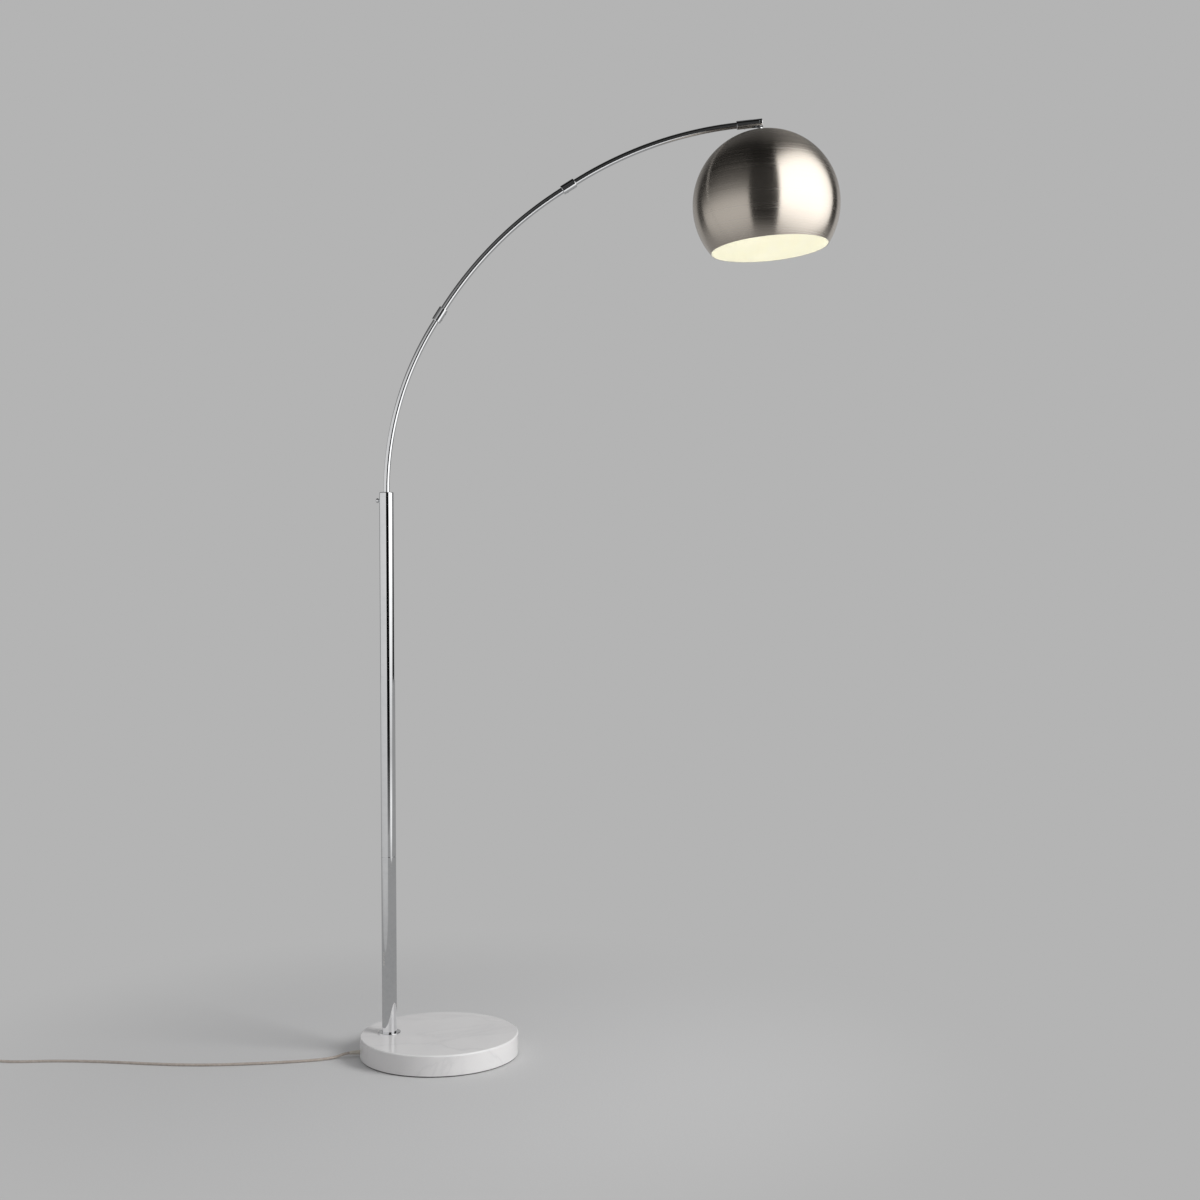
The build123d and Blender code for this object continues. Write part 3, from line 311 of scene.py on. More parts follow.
pole_pin = Vector(joints["arm_swivel"]["pos_m"])
channel_start = Vector((pole_pin.x, 0, cord_exit[2]))
channel_run = Vector(cord_exit) - channel_start
nose_start = channel_run.length - RELIEF_NOSE
relief_outline = [
    (RELIEF_BORE, COLLAR_START),
    (RELIEF_COLLAR, COLLAR_START),
    (RELIEF_COLLAR, COLLAR_END),
    (RELIEF_SHANK, COLLAR_END + 0.0004),
    (RELIEF_SHANK, nose_start - 0.0012),
]
for rib in range(RELIEF_RIBS):
    along = rib / RELIEF_RIBS
    crest = RELIEF_SHANK + (RELIEF_TIP - RELIEF_SHANK) * along
    start = nose_start + RELIEF_NOSE * along
    relief_outline += [
        (crest - RIB_DEPTH, start),
        (crest, start + 0.0006),
        (crest - 0.0001, start + 0.0018),
        (crest - RIB_DEPTH, start + 0.0023),
    ]
relief_outline += [
    (RELIEF_TIP - RIB_DEPTH, channel_run.length - 0.0003),
    (RELIEF_BORE, channel_run.length),
]
strain_relief = turned("strain_relief", relief_outline, sides=48, ring=True)
settle(strain_relief, channel_start, (0, radians(90), atan2(channel_run.y, channel_run.x)))


def relief_material():
    made, tree, shader, where = material("moulded_relief")
    tone = ramp(tree, noise(tree, where, 90.0), (0.3, (0.55, 0.51, 0.44)), (0.7, (0.66, 0.62, 0.55)))
    worn = ramp(tree, marked(tree, where, 60.0), (0.0, 0.3), (1.0, 0.5))
    feed(tree, shader, Base_Color=tone, Roughness=worn)
    relief(tree, shader, noise(tree, where, 2500.0), 0.00003)
    return made


dress(strain_relief, relief_material(), "clear_flex", "stand", "cord_relief")

# ------------------------------------------------------------------ foot switch
# A flat in-line switch in two off-white ABS shells, held by two hidden screws, with a push-push
# button in the middle. Moulded grip ribs stand on the cover at each end.
GRIP_RIBS = 4
GRIP_START = 0.0135             # from the switch's middle out to the first rib
GRIP_PITCH = 0.0032
GRIP_THICK = 0.0013
GRIP_WIDTH = 0.0180
GRIP_NARROWS = 0.0016           # each rib is this much shorter than the one before it
GRIP_HEIGHT = 0.0012
GRIP_ROUNDING = 0.0005


def moulded_material(name, colour, rough):
    """Injection-moulded plastic with a fine spark-eroded grain, duller where it has been handled."""
    made, tree, shader, where = material(name)
    darker = tuple(channel * 0.9 for channel in colour)
    touched = marked(tree, where, 25.0)
    tone = ramp(tree, touched, (0.0, colour), (1.0, darker))
    worn = ramp(tree, touched, (0.0, rough), (1.0, rough + 0.16))
    feed(tree, shader, Base_Color=tone, Roughness=worn)
    relief(tree, shader, noise(tree, where, 900.0, 3.0), 0.00004)
    return made


def metal_material(name, colour, rough):
    """Plain or plated metal, duller where it has been handled."""
    made, tree, shader, where = material(name)
    touched = marked(tree, where, 12.0)
    darker = tuple(channel * 0.9 for channel in colour)
    tone = ramp(tree, touched, (0.0, colour), (1.0, darker))
    blotches = noise(tree, where, 40.0, 3.0)
    both = node(tree, "Math", {0: touched, 1: blotches}, operation="MULTIPLY").outputs[0]
    gloss = ramp(tree, both, (0.0, rough), (1.0, rough + 0.2))
    feed(tree, shader, Base_Color=tone, Roughness=gloss)
    steady(shader, Metallic=1)
    return made


switch_plastic = moulded_material("switch_plastic", (0.80, 0.78, 0.73), 0.24)
contact_block = moulded_material("contact_block", (0.03, 0.03, 0.032), 0.45)
zinc_steel = metal_material("zinc_steel", (0.55, 0.56, 0.57), 0.28)
finish_nodes(switch_plastic, "switch_base", "switch_cover", "switch_button")
finish_nodes(contact_block, "switch_core")
finish_nodes(zinc_steel, "switch_screws")

cover_low, cover_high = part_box("switch_cover")
cover_middle = (cover_low + cover_high) / 2


def rounded_block(name, size, centre, rounding):
    """A block with all its edges rounded."""
    bpy.ops.object.select_all(action="DESELECT")
    bpy.ops.mesh.primitive_cube_add(size=1)
    block = bpy.context.object
    block.name = name
    block.data.name = name
    block.scale = size
    settle(block, centre)
    bpy.ops.object.mode_set(mode="EDIT")
    bpy.ops.mesh.select_all(action="SELECT")
    bpy.ops.mesh.bevel(offset=rounding, segments=3, affect="EDGES")
    bpy.ops.object.mode_set(mode="OBJECT")
    return block


def joined(name, pieces):
    """Several like pieces as one object."""
    bpy.ops.object.select_all(action="DESELECT")
    for piece in pieces:
        piece.select_set(True)
    bpy.context.view_layer.objects.active = pieces[0]
    bpy.ops.object.join()
    whole = bpy.context.object
    whole.name = name
    whole.data.name = name
    bpy.ops.object.shade_smooth_by_angle(angle=radians(40))
    return whole


ribs = []
for end in (-1, 1):
    for rib in range(GRIP_RIBS):
        out = GRIP_START + rib * GRIP_PITCH
        size = (GRIP_THICK, GRIP_WIDTH - rib * GRIP_NARROWS, GRIP_HEIGHT)
        centre = (cover_middle.x + end * out, cover_middle.y, cover_high.z)
        ribs.append(rounded_block("grip_rib", size, centre, GRIP_ROUNDING))
dress(joined("switch_grips", ribs), switch_plastic, "switch_plastic", "stand")

# ------------------------------------------------------------------ coil, tie and plug
# Past the switch the spare length is wound into a neat coil of six turns in two layers, in
# from the outside along the floor and out again on top, tied, with the plug beside it.
COIL_TURNS = 6.25
COIL_STEPS = 24
COIL_CENTRE = Vector((-0.882, -0.112, 0))
COIL_OUTER = 0.0326
COIL_INNER = 0.0225
LAYER_ONE = 0.0036
LAYER_TWO = 0.0086
WOUND_IN = 3.0                  # turns until the lower layer is full
CLIMB_START = 2.9               # the turn at which the flex climbs onto it
CLIMB_TURNS = 0.35
WINDS_OUT = 3.15                # the turn from which the upper layer widens

tail_route = [
    (-0.9000, -0.0440, 0.0050),
    (-0.9140, -0.0446, 0.0032),
    (-0.9310, -0.0500, 0.0025),
    (-0.9410, -0.0660, 0.0029),
    (-0.9340, -0.0840, 0.0035),
    (-0.9210, -0.0970, 0.0035),
]
coil_route = []
for step in range(round(COIL_TURNS * COIL_STEPS) + 1):
    turns = step / COIL_STEPS
    inward = min(turns / WOUND_IN, 1)
    outward = max((turns - WINDS_OUT) / (COIL_TURNS - WINDS_OUT), 0)
    radius = COIL_OUTER + (COIL_INNER - COIL_OUTER) * (inward - outward)
    climb = min(max((turns - CLIMB_START) / CLIMB_TURNS, 0), 1)
    height = LAYER_ONE + (LAYER_TWO - LAYER_ONE) * climb
    angle = pi + 2 * pi * turns
    spot = Vector((radius * cos(angle), radius * sin(angle), height))
    coil_route.append(COIL_CENTRE + spot)
lead_route = [
    (-0.8690, -0.1442, 0.0084),
    (-0.8508, -0.1445, 0.0070),
]
coiled_cord = lay_cord("coiled_cord", tail_route + coil_route + lead_route)
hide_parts("cord_tail", "cord_coil", "cord_lead")


def tie_material():
    made, tree, shader, where = material("tie_wrap")
    pile = noise(tree, where, 1400.0, 4.0)
    tone = ramp(tree, pile, (0.3, (0.012, 0.012, 0.013)), (0.75, (0.05, 0.05, 0.055)))
    rough = ramp(tree, pile, (0.0, 0.95), (1.0, 0.7))
    feed(tree, shader, Base_Color=tone, Roughness=rough)
    steady(shader, Sheen_Weight=0.35)
    relief(tree, shader, pile, 0.0004)
    return made


finish_nodes(tie_material(), "coil_tie")

# the plug's nose is moulded with rings that let it flex, each wider than it is high
NOSE_RINGS = 4
RING_PITCH = 0.0022
RING_DEPTH = 0.0012
RING_THICK = 0.0011
RING_ROUNDING = 0.0002
finish_nodes(switch_plastic, "plug_body")
plug_low, plug_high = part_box("plug_body")
plug_middle = (plug_low + plug_high) / 2
rings = []
for ring in range(NOSE_RINGS):
    along = plug_low.x + 0.0012 + ring * RING_PITCH
    half_width = 0.0054 + ring * 0.0013
    half_height = 0.0048 + ring * 0.00035
    hoop = turned(
        "nose_ring",
        [
            (half_width - RING_DEPTH, 0),
            (half_width, RING_ROUNDING),
            (half_width, RING_THICK - RING_ROUNDING),
            (half_width - RING_DEPTH, RING_THICK),
        ],
        sides=40,
        ring=True,
    )
    hoop.scale = (half_height / half_width, 1, 1)
    settle(hoop, (along, plug_middle.y, plug_middle.z), (0, radians(90), 0))
    rings.append(hoop)
dress(joined("plug_nose", rings), switch_plastic, "switch_plastic", "stand")

# the half of each brass pin that is next to the plug wears a thin insulating sleeve
PIN_RADIUS = 0.0020
SLEEVE_INSIDE = 0.0019
SLEEVE_OUTSIDE = 0.00206
SLEEVE_LENGTH = 0.010
SLEEVE_ROUNDING = 0.0003
pins_low, pins_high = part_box("plug_pins")
sleeves = []
for side in (pins_low.y + PIN_RADIUS, pins_high.y - PIN_RADIUS):
    sleeve = turned(
        "pin_sleeve",
        [
            (SLEEVE_INSIDE, 0),
            (SLEEVE_OUTSIDE, 0),
            (SLEEVE_OUTSIDE, SLEEVE_LENGTH - SLEEVE_ROUNDING),
            (SLEEVE_INSIDE, SLEEVE_LENGTH),
        ],
        sides=32,
        ring=True,
    )
    settle(sleeve, (pins_low.x, side, plug_middle.z), (0, radians(90), 0))
    sleeves.append(sleeve)
dress(joined("pin_sleeves", sleeves), contact_block, "contact_block", "stand")
brass = metal_material("brass", (0.80, 0.62, 0.30), 0.16)
finish_nodes(brass, "plug_pins")

# ------------------------------------------------------------------ marble base
# A sawn and polished disc of white marble with faint grey veins, its top edge rounded over. A
# felt pad is glued beneath, and a chrome ring hides the hole where the pole is let in. A stud, a
# washer and a nut of zinc-plated steel hold the pole from below.


def marble_material():
    made, tree, shader, where = material("marble")
    # slow clouds drift the stone between two whites
    clouds = noise(tree, where, 7.0, 5.0, 0.6)
    body = ramp(tree, clouds, (0.3, (0.775, 0.765, 0.765)), (0.7, (0.83, 0.82, 0.815)))
    # a vein is where a distorted noise crosses its middle value
    slanted = stretched(tree, where, (1, 1.7, 1.3), (0.3, 0.2, 0.7))
    drift = noise(tree, slanted, 3.2, 6.0, 0.9)
    off = node(tree, "Math", {0: drift, 1: 0.5}, operation="SUBTRACT").outputs[0]
    width = node(tree, "Math", {0: off}, operation="ABSOLUTE").outputs[0]
    vein = ramp(tree, width, (0.0, 0.34), (0.010, 0.13), (0.035, 0.0))
    patchy = noise(tree, where, 3.0, 2.0)
    shown = node(tree, "Math", {0: vein, 1: patchy}, operation="MULTIPLY").outputs[0]
    mix = node(tree, "Mix", {0: shown, 6: body, 7: (0.50, 0.50, 0.51, 1)}, data_type="RGBA")
    polish = ramp(tree, marked(tree, where, 10.0), (0.0, 0.12), (1.0, 0.20))
    feed(tree, shader, Base_Color=mix.outputs[2], Roughness=polish)
    steady(shader, IOR=1.48)
    return made


def felt_material():
    made, tree, shader, where = material("felt")
    fibres = noise(tree, where, 1800.0, 5.0)
    tone = ramp(tree, fibres, (0.3, (0.09, 0.088, 0.085)), (0.75, (0.19, 0.186, 0.18)))
    rough = ramp(tree, fibres, (0.0, 1.0), (1.0, 0.85))
    feed(tree, shader, Base_Color=tone, Roughness=rough)
    steady(shader, Sheen_Weight=0.3)
    relief(tree, shader, fibres, 0.0003)
    return made


def chrome_material(name, gloss, swell, depth):
    """Mirror chrome over tube that is never dead straight, with a few faint wipe marks."""
    made, tree, shader, where = material(name)
    touched = marked(tree, where, 9.0)
    tone = ramp(tree, touched, (0.0, (0.94, 0.945, 0.955)), (1.0, (0.88, 0.89, 0.905)))
    wiped = ramp(tree, touched, (0.0, gloss), (1.0, gloss + 0.02))
    feed(tree, shader, Base_Color=tone, Roughness=wiped)
    steady(shader, Metallic=1)
    relief(tree, shader, noise(tree, where, swell, 1.0), depth)
    return made


finish_nodes(marble_material(), "marble_base")
finish_nodes(felt_material(), "base_pad")
chrome = chrome_material("chrome", 0.03, 9.0, 0.00002)
finish_nodes(chrome, "base_ring")
finish_nodes(zinc_steel, "base_washer", "base_nut", "base_stud")

# ------------------------------------------------------------------ pole
# Three lengths of drawn steel tube, polished and chrome plated, screwed end to end over hidden
# joiners, with a threaded plug in the foot and a cap on top. Two nylon bushes guide the arm.
finish_nodes(chrome, "pole_lower", "pole_middle", "pole_upper", "pole_cap")
finish_nodes(zinc_steel, "pole_foot", "pole_joiner_lower", "pole_joiner_upper")
nylon = moulded_material("nylon", (0.62, 0.61, 0.57), 0.35)
finish_nodes(nylon, "neck_bush", "guide_bush")
finish_nodes(clear_flex, "pole_cable")

# ------------------------------------------------------------------ clamping screw
# A small chromed brass knob with a knurled rim and a domed end. Screwed in, its nylon-tipped
# screw grips the arm at the height and the angle that it is set to.
KNOB_FLUTES = 30
FLUTE_SIDES = 3                 # the first of each flute's three sides is cut in
KNOB_CUT = 0.00028

finish_nodes(zinc_steel, "clamp_screw")
finish_nodes(nylon, "clamp_pad")
knob_low, knob_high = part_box("clamp_knob")
knob_radius = (knob_high.z - knob_low.z) / 2
knob_length = knob_high.x - knob_low.x
rim_start = knob_length * 0.16
rim_end = knob_length * 0.66
clamp_knob = turned(
    "knurled_knob",
    [
        (0, 0),
        (knob_radius * 0.62, 0),
        (knob_radius * 0.70, rim_start * 0.5),
        (knob_radius * 0.92, rim_start * 0.8),
        (knob_radius * 0.99, rim_start),
        (knob_radius * 0.99, rim_end),
        (knob_radius * 0.93, rim_end + 0.0003),
        (knob_radius * 0.86, rim_end + 0.0005),
        (knob_radius * 0.80, knob_length * 0.84),
        (knob_radius * 0.60, knob_length * 0.94),
        (knob_radius * 0.30, knob_length * 0.99),
        (0, knob_length),
    ],
    sides=KNOB_FLUTES * FLUTE_SIDES,
)
select_only(clamp_knob)
for face in clamp_knob.data.polygons:
    turn = atan2(face.center.y, face.center.x) / (2 * pi)
    side = round(turn * KNOB_FLUTES * FLUTE_SIDES - 0.5)
    on_rim = rim_start < face.center.z < rim_end
    face.select = on_rim and side % FLUTE_SIDES == 0
bpy.ops.object.mode_set(mode="EDIT")
bpy.ops.mesh.select_mode(type="FACE")
bpy.ops.mesh.extrude_region_move()
bpy.ops.transform.shrink_fatten(value=-KNOB_CUT)
bpy.ops.object.mode_set(mode="OBJECT")
settle(clamp_knob, (knob_high.x, 0, (knob_low.z + knob_high.z) / 2), (0, radians(-90), 0))
tidy_mesh(clamp_knob, 30)
small_chrome = chrome_material("small_chrome", 0.06, 60.0, 0.00001)
dress(clamp_knob, small_chrome, "chrome", "clamp", "clamp_knob")

# ------------------------------------------------------------------ arm
# Three lengths of 12 mm tube, bowed and chromed, joined in plain sleeves by grub screws of
# blackened steel. A collar and a spring clip on its straight shank keep it in the pole.
finish_nodes(chrome, "arm_lower", "arm_middle", "arm_upper", "sleeve_lower", "sleeve_upper")
finish_nodes(zinc_steel, "shank_collar", "shank_clip")
black_steel = metal_material("black_steel", (0.10, 0.10, 0.105), 0.35)
finish_nodes(black_steel, "grub_screws")
finish_nodes(clear_flex, "arm_cable")

# ------------------------------------------------------------------ head
# The forked end piece on the arm's tip. A tongue tilts in it on a pin, between two washers, and
# its threaded stem holds the shade between a collar and a lock nut.
finish_nodes(chrome, "head", "tongue", "tilt_pin", "shade_collar")
finish_nodes(zinc_steel, "tilt_washers", "lock_nut")

# ------------------------------------------------------------------ shade
# A ball spun from 0.7 mm steel, cut off level below, brushed in rings on the lathe and plated in
# satin nickel. Inside it is sprayed with a cream enamel, which is given a faint painted glow that
# stands in for the bulb's light.
SHADE_RADIUS = 0.140
SHADE_WALL = 0.0007
SHADE_SEGMENTS = 144
SHADE_RINGS = 96
STEM_RADIUS = 0.0050
ENAMEL = 0.00012

shade_low, shade_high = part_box("shade")
tilt_pin = Vector(joints["shade_tilt"]["pos_m"])
shade_centre = Vector(((shade_low.x + shade_high.x) / 2, 0, shade_high.z - SHADE_RADIUS))
hang_line = shade_centre - tilt_pin
shade_lean = atan2(hang_line.x, -hang_line.z)
shade_turn = (0, -shade_lean, 0)
upright = (Matrix.Translation(tilt_pin) @ Matrix.Rotation(-shade_lean, 4, "Y")).inverted()


def drop(name):
    """Where a CAD piece lies on the shade's axis: nearest and furthest from the pin, and its radius."""
    spots = [upright @ corner.co for corner in nodes[name].data.vertices]
    heights = [spot.z for spot in spots]
    return max(heights), min(heights), max(hypot(spot.x, spot.y) for spot in spots)


rim_height = drop("shade")[1]
centre_height = -hang_line.length


def ball_shell(name, radius, wall):
    """A ball cut off level at the rim and bored for the stem, given its wall inwards."""
    bpy.ops.object.select_all(action="DESELECT")
    bpy.ops.mesh.primitive_uv_sphere_add(
        segments=SHADE_SEGMENTS, ring_count=SHADE_RINGS, radius=radius, location=(0, 0, 0)
    )
    ball = bpy.context.object
    ball.name = name
    ball.data.name = name
    bore_height = sqrt(radius**2 - STEM_RADIUS**2)
    for cut, keep_below in ((rim_height - centre_height, False), (bore_height, True)):
        bpy.ops.object.mode_set(mode="EDIT")
        bpy.ops.mesh.select_all(action="SELECT")
        bpy.ops.mesh.bisect(
            plane_co=(0, 0, cut),
            plane_no=(0, 0, 1),
            clear_inner=not keep_below,
            clear_outer=keep_below,
        )
        bpy.ops.object.mode_set(mode="OBJECT")
    wall_maker = ball.modifiers.new("wall", "SOLIDIFY")
    wall_maker.thickness = wall
    wall_maker.offset = -1
    bpy.ops.object.modifier_apply(modifier="wall")
    settle(ball, (0, 0, centre_height))
    settle(ball, tilt_pin, shade_turn)
    bpy.ops.object.shade_smooth_by_angle(angle=radians(35))
    return ball


def satin_nickel_material():
    made, tree, shader, where = material("satin_nickel")
    # about the shade's own axis, so that the brushing runs level round the ball
    turned_back = (0, shade_lean, 0)
    lines_at = stretched(tree, where, (5, 5, 1500), turned_back)
    bands_at = stretched(tree, where, (3, 3, 260), turned_back)
    lines = noise(tree, lines_at, 1.0, 3.0)
    bands = noise(tree, bands_at, 1.0, 2.0)
    both = node(tree, "Math", {0: lines, 1: bands}, operation="ADD").outputs[0]
    half = node(tree, "Math", {0: both, 1: 0.5}, operation="MULTIPLY").outputs[0]
    tone = ramp(tree, half, (0.3, (0.675, 0.61, 0.535)), (0.7, (0.72, 0.655, 0.58)))
    gloss = ramp(tree, half, (0.25, 0.21), (0.75, 0.30))
    feed(tree, shader, Base_Color=tone, Roughness=gloss)
    steady(shader, Metallic=1, Anisotropic=0.85, Anisotropic_Rotation=0.25)
    ring_way = node(tree, "Tangent", direction_type="RADIAL", axis="Z")
    tree.links.new(ring_way.outputs["Tangent"], shader.inputs["Tangent"])
    relief(tree, shader, lines, 0.00002, 0.24)
    return made


def enamel_and_painted_glow_material():
    made, tree, shader, where = material("cream_enamel_painted_glow")
    shift = noise(tree, where, 25.0, 3.0)
    tone = ramp(tree, shift, (0.35, (0.89, 0.88, 0.80)), (0.65, (0.93, 0.92, 0.85)))
    rough = ramp(tree, marked(tree, where, 18.0), (0.0, 0.32), (1.0, 0.45))
    # painted glow: the enamel's own tone also shines faintly, standing in for the bulb's light inside
    feed(tree, shader, Base_Color=tone, Roughness=rough, Emission_Color=tone)
    steady(shader, Emission_Strength=0.12)
    # spray leaves a faint orange peel
    relief(tree, shader, noise(tree, where, 420.0, 2.0), 0.00008)
    return made


ball_shade = ball_shell("ball_shade", SHADE_RADIUS, SHADE_WALL)
dress(ball_shade, satin_nickel_material(), "satin_nickel", "shade", "shade")
shade_enamel = ball_shell("shade_enamel", SHADE_RADIUS - SHADE_WALL - ENAMEL, ENAMEL)
dress(shade_enamel, enamel_and_painted_glow_material(), "satin_nickel", "shade")

# ------------------------------------------------------------------ lampholder and bulb
# A plain white moulded lampholder with a threaded skirt on a porcelain core, and a pear-shaped
# bulb, frosted inside, in a rolled screw cap with a black glass insulator.
holder_plastic = moulded_material("holder_plastic", (0.82, 0.81, 0.77), 0.3)
finish_nodes(holder_plastic, "holder_cap")
finish_nodes(brass, "holder_thread", "holder_contact")
core_wire = moulded_material("core_wire", (0.16, 0.09, 0.05), 0.35)
finish_nodes(core_wire, "holder_wires")


def porcelain_material():
    made, tree, shader, where = material("porcelain")
    biscuit = noise(tree, where, 700.0, 4.0)
    tone = ramp(tree, biscuit, (0.3, (0.78, 0.77, 0.73)), (0.7, (0.88, 0.87, 0.84)))
    rough = ramp(tree, biscuit, (0.0, 0.75), (1.0, 0.5))
    feed(tree, shader, Base_Color=tone, Roughness=rough)
    relief(tree, shader, biscuit, 0.00006)
    return made


finish_nodes(porcelain_material(), "holder_core")

SKIRT_PITCH = 0.0030
SKIRT_CREST = 0.0007
SKIRT_WALL = 0.0016
SKIRT_BORE = 0.0142
SKIRT_PLAIN = 0.008             # above the thread
SKIRT_RIM = 0.004               # below it
skirt_top, skirt_end, skirt_radius = drop("holder_skirt")
thread_start = skirt_top - SKIRT_PLAIN
crests = int((thread_start - skirt_end - SKIRT_RIM) / SKIRT_PITCH)
skirt_outline = [
    (skirt_radius - SKIRT_WALL, skirt_top),
    (skirt_radius - SKIRT_CREST, skirt_top),
    (skirt_radius - SKIRT_CREST, thread_start),
]
for crest in range(crests):
    top = thread_start - crest * SKIRT_PITCH
    skirt_outline += [
        (skirt_radius - SKIRT_CREST, top - 0.0004),
        (skirt_radius, top - 0.0010),
        (skirt_radius, top - 0.0018),
        (skirt_radius - SKIRT_CREST, top - 0.0024),
    ]
skirt_outline += [
    (skirt_radius - SKIRT_CREST, skirt_end + 0.0012),
    (skirt_radius - SKIRT_WALL, skirt_end),
    (SKIRT_BORE + 0.0003, skirt_end),
    (SKIRT_BORE, skirt_end + 0.0004),
    (SKIRT_BORE, skirt_end + 0.0020),
    (skirt_radius - SKIRT_WALL, skirt_end + 0.0026),
]
holder_skirt = turned("threaded_skirt", skirt_outline, ring=True)
settle(holder_skirt, tilt_pin, shade_turn)
dress(holder_skirt, holder_plastic, "holder_plastic", "shade", "holder_skirt")

THREAD_PITCH = 0.0036
THREAD_DEPTH = 0.0009
THREAD_STEPS = 6                # points along each turn of the rolled thread
CAP_WALL = 0.0005
CAP_EYELET = 0.0078
CAP_PLAIN = 0.0065              # both ends together, past the thread
cap_top, cap_end, cap_radius = drop("bulb_cap")
cap_outline = [(CAP_EYELET, cap_top), (cap_radius - 0.0016, cap_top - 0.0012)]
thread_turns = int((cap_top - cap_end - CAP_PLAIN) / THREAD_PITCH)
for step in range(THREAD_STEPS * thread_turns + 1):
    swing = (1 - cos(2 * pi * step / THREAD_STEPS)) / 2
    height = cap_top - 0.0028 - step * THREAD_PITCH / THREAD_STEPS
    cap_outline.append((cap_radius - THREAD_DEPTH * (1 - swing), height))
cap_outline += [
    (cap_radius - 0.0004, cap_end + 0.0016),
    (cap_radius, cap_end + 0.0008),
    (cap_radius, cap_end),
    (cap_radius - CAP_WALL, cap_end),
    (cap_radius - THREAD_DEPTH - CAP_WALL, cap_end + 0.0020),
    (cap_radius - THREAD_DEPTH - CAP_WALL, cap_top - 0.0035),
    (CAP_EYELET, cap_top - 0.0008),
]
bulb_cap = turned("screw_cap", cap_outline, ring=True)
settle(bulb_cap, tilt_pin, shade_turn)
bulb_metal = metal_material("bulb_metal", (0.74, 0.73, 0.71), 0.3)
dress(bulb_cap, bulb_metal, "bulb_metal", "shade", "bulb_cap")

contact_top, contact_end, contact_radius = drop("bulb_contact")
bulb_contact = turned(
    "bulb_contact_button",
    [
        (0, contact_top),
        (0.0022, contact_top - 0.0002),
        (0.0042, contact_top - 0.0008),
        (0.0046, contact_top - 0.0013),
        (contact_radius * 0.9, contact_end + 0.0004),
        (contact_radius * 0.97, contact_end),
        (0, contact_end),
    ],
    sides=48,
)
settle(bulb_contact, tilt_pin, shade_turn)
dress(bulb_contact, contact_block, "bulb_solder", "shade", "bulb_contact")

GLASS_NECK = cap_radius - 0.0014
GLASS_WALL = 0.0008
BALL_STEPS = 18
NECK_STEPS = 8
NECK_PLAIN = 0.008              # the straight length of the neck, up in the cap
NECK_SOFTNESS = 0.35            # how far the curve into the neck eases at both its ends
SHOULDER = radians(38)          # above the ball's middle, where the neck sets off
glass_top, glass_tip, ball_radius = drop("bulb_glass")
ball_height = glass_tip + ball_radius


def glass_outline(ball, neck):
    """The pear shape from its tip: most of a ball, then an easy curve up into the neck."""
    outline = []
    for step in range(BALL_STEPS + 1):
        angle = -pi / 2 + (SHOULDER + pi / 2) * step / BALL_STEPS
        outline.append((ball * cos(angle), ball_height + ball * sin(angle)))
    meet_radius, meet_height = outline[-1]
    rise = (glass_top - NECK_PLAIN - meet_height) / NECK_STEPS
    for step in range(1, NECK_STEPS + 1):
        ease = step / NECK_STEPS
        soft = ease * ease * (3 - 2 * ease)
        quick = 1 - (1 - ease) ** 2
        inward = soft * NECK_SOFTNESS + quick * (1 - NECK_SOFTNESS)
        outline.append((meet_radius + (neck - meet_radius) * inward, meet_height + rise * step))
    outline.append((neck, glass_top - 0.0005))
    return outline


outside = glass_outline(ball_radius, GLASS_NECK)
inside = glass_outline(ball_radius - GLASS_WALL, GLASS_NECK - GLASS_WALL)
bulb_glass = turned("pear_bulb", outside + inside[::-1], smooth=50)
settle(bulb_glass, tilt_pin, shade_turn)


def bulb_material():
    made, tree, shader, where = material("bulb_glass")
    # the frosting lets through a slightly uneven light
    frost = noise(tree, where, 120.0, 3.0)
    glow = ramp(tree, frost, (0.3, (0.99, 0.96, 0.77)), (0.7, (1.0, 0.97, 0.82)))
    tone = ramp(tree, frost, (0.3, (0.90, 0.88, 0.84)), (0.7, (0.95, 0.94, 0.92)))
    rough = ramp(tree, frost, (0.0, 0.35), (1.0, 0.55))
    feed(tree, shader, Base_Color=tone, Emission_Color=glow, Roughness=rough)
    steady(shader, Emission_Strength=3.3)
    return made


dress(bulb_glass, bulb_material(), "bulb_glass", "shade", "bulb_glass")

# ------------------------------------------------------------------ floor and light
# A pale seamless floor that fades into a plain backdrop, a large soft light above and to the
# right, and tall cards beside the camera that only the polished metal picks up.
BACKDROP = 0.456
FLOOR_FADES = (0.28, 1.1)       # metres from the base's middle
FLOOR_IN_CHROME = 0.28          # how bright the floor is in reflections


def floor_material():
    made, tree, shader, where = material("floor")
    specks = noise(tree, where, 300.0, 3.0)
    feed(tree, shader, Base_Color=ramp(tree, specks, (0.3, 0.59), (0.7, 0.62)))
    steady(shader, Roughness=0.9)
    apart = node(tree, "VectorMath", {0: where}, operation="LENGTH").outputs["Value"]
    limits = {"Value": apart, "From Min": FLOOR_FADES[0], "From Max": FLOOR_FADES[1]}
    fade = node(tree, "MapRange", limits, interpolation_type="SMOOTHSTEP").outputs["Result"]
    glow = node(tree, "Emission", {"Color": (BACKDROP, BACKDROP, BACKDROP, 1)})
    blend = node(tree, "MixShader", {0: fade, 1: shader.outputs["BSDF"], 2: glow.outputs[0]})
    dim = node(tree, "Emission", {"Color": (FLOOR_IN_CHROME, FLOOR_IN_CHROME, FLOOR_IN_CHROME, 1)})
    mirrored = node(tree, "LightPath").outputs["Is Glossy Ray"]
    both = node(tree, "MixShader", {0: mirrored, 1: blend.outputs[0], 2: dim.outputs[0]})
    tree.links.new(both.outputs[0], tree.nodes["Material Output"].inputs["Surface"])
    return made


bpy.ops.object.select_all(action="DESELECT")
bpy.ops.mesh.primitive_circle_add(vertices=128, radius=14, fill_type="NGON")
floor = bpy.context.object
floor.name = "floor"
floor.data.materials.append(floor_material())


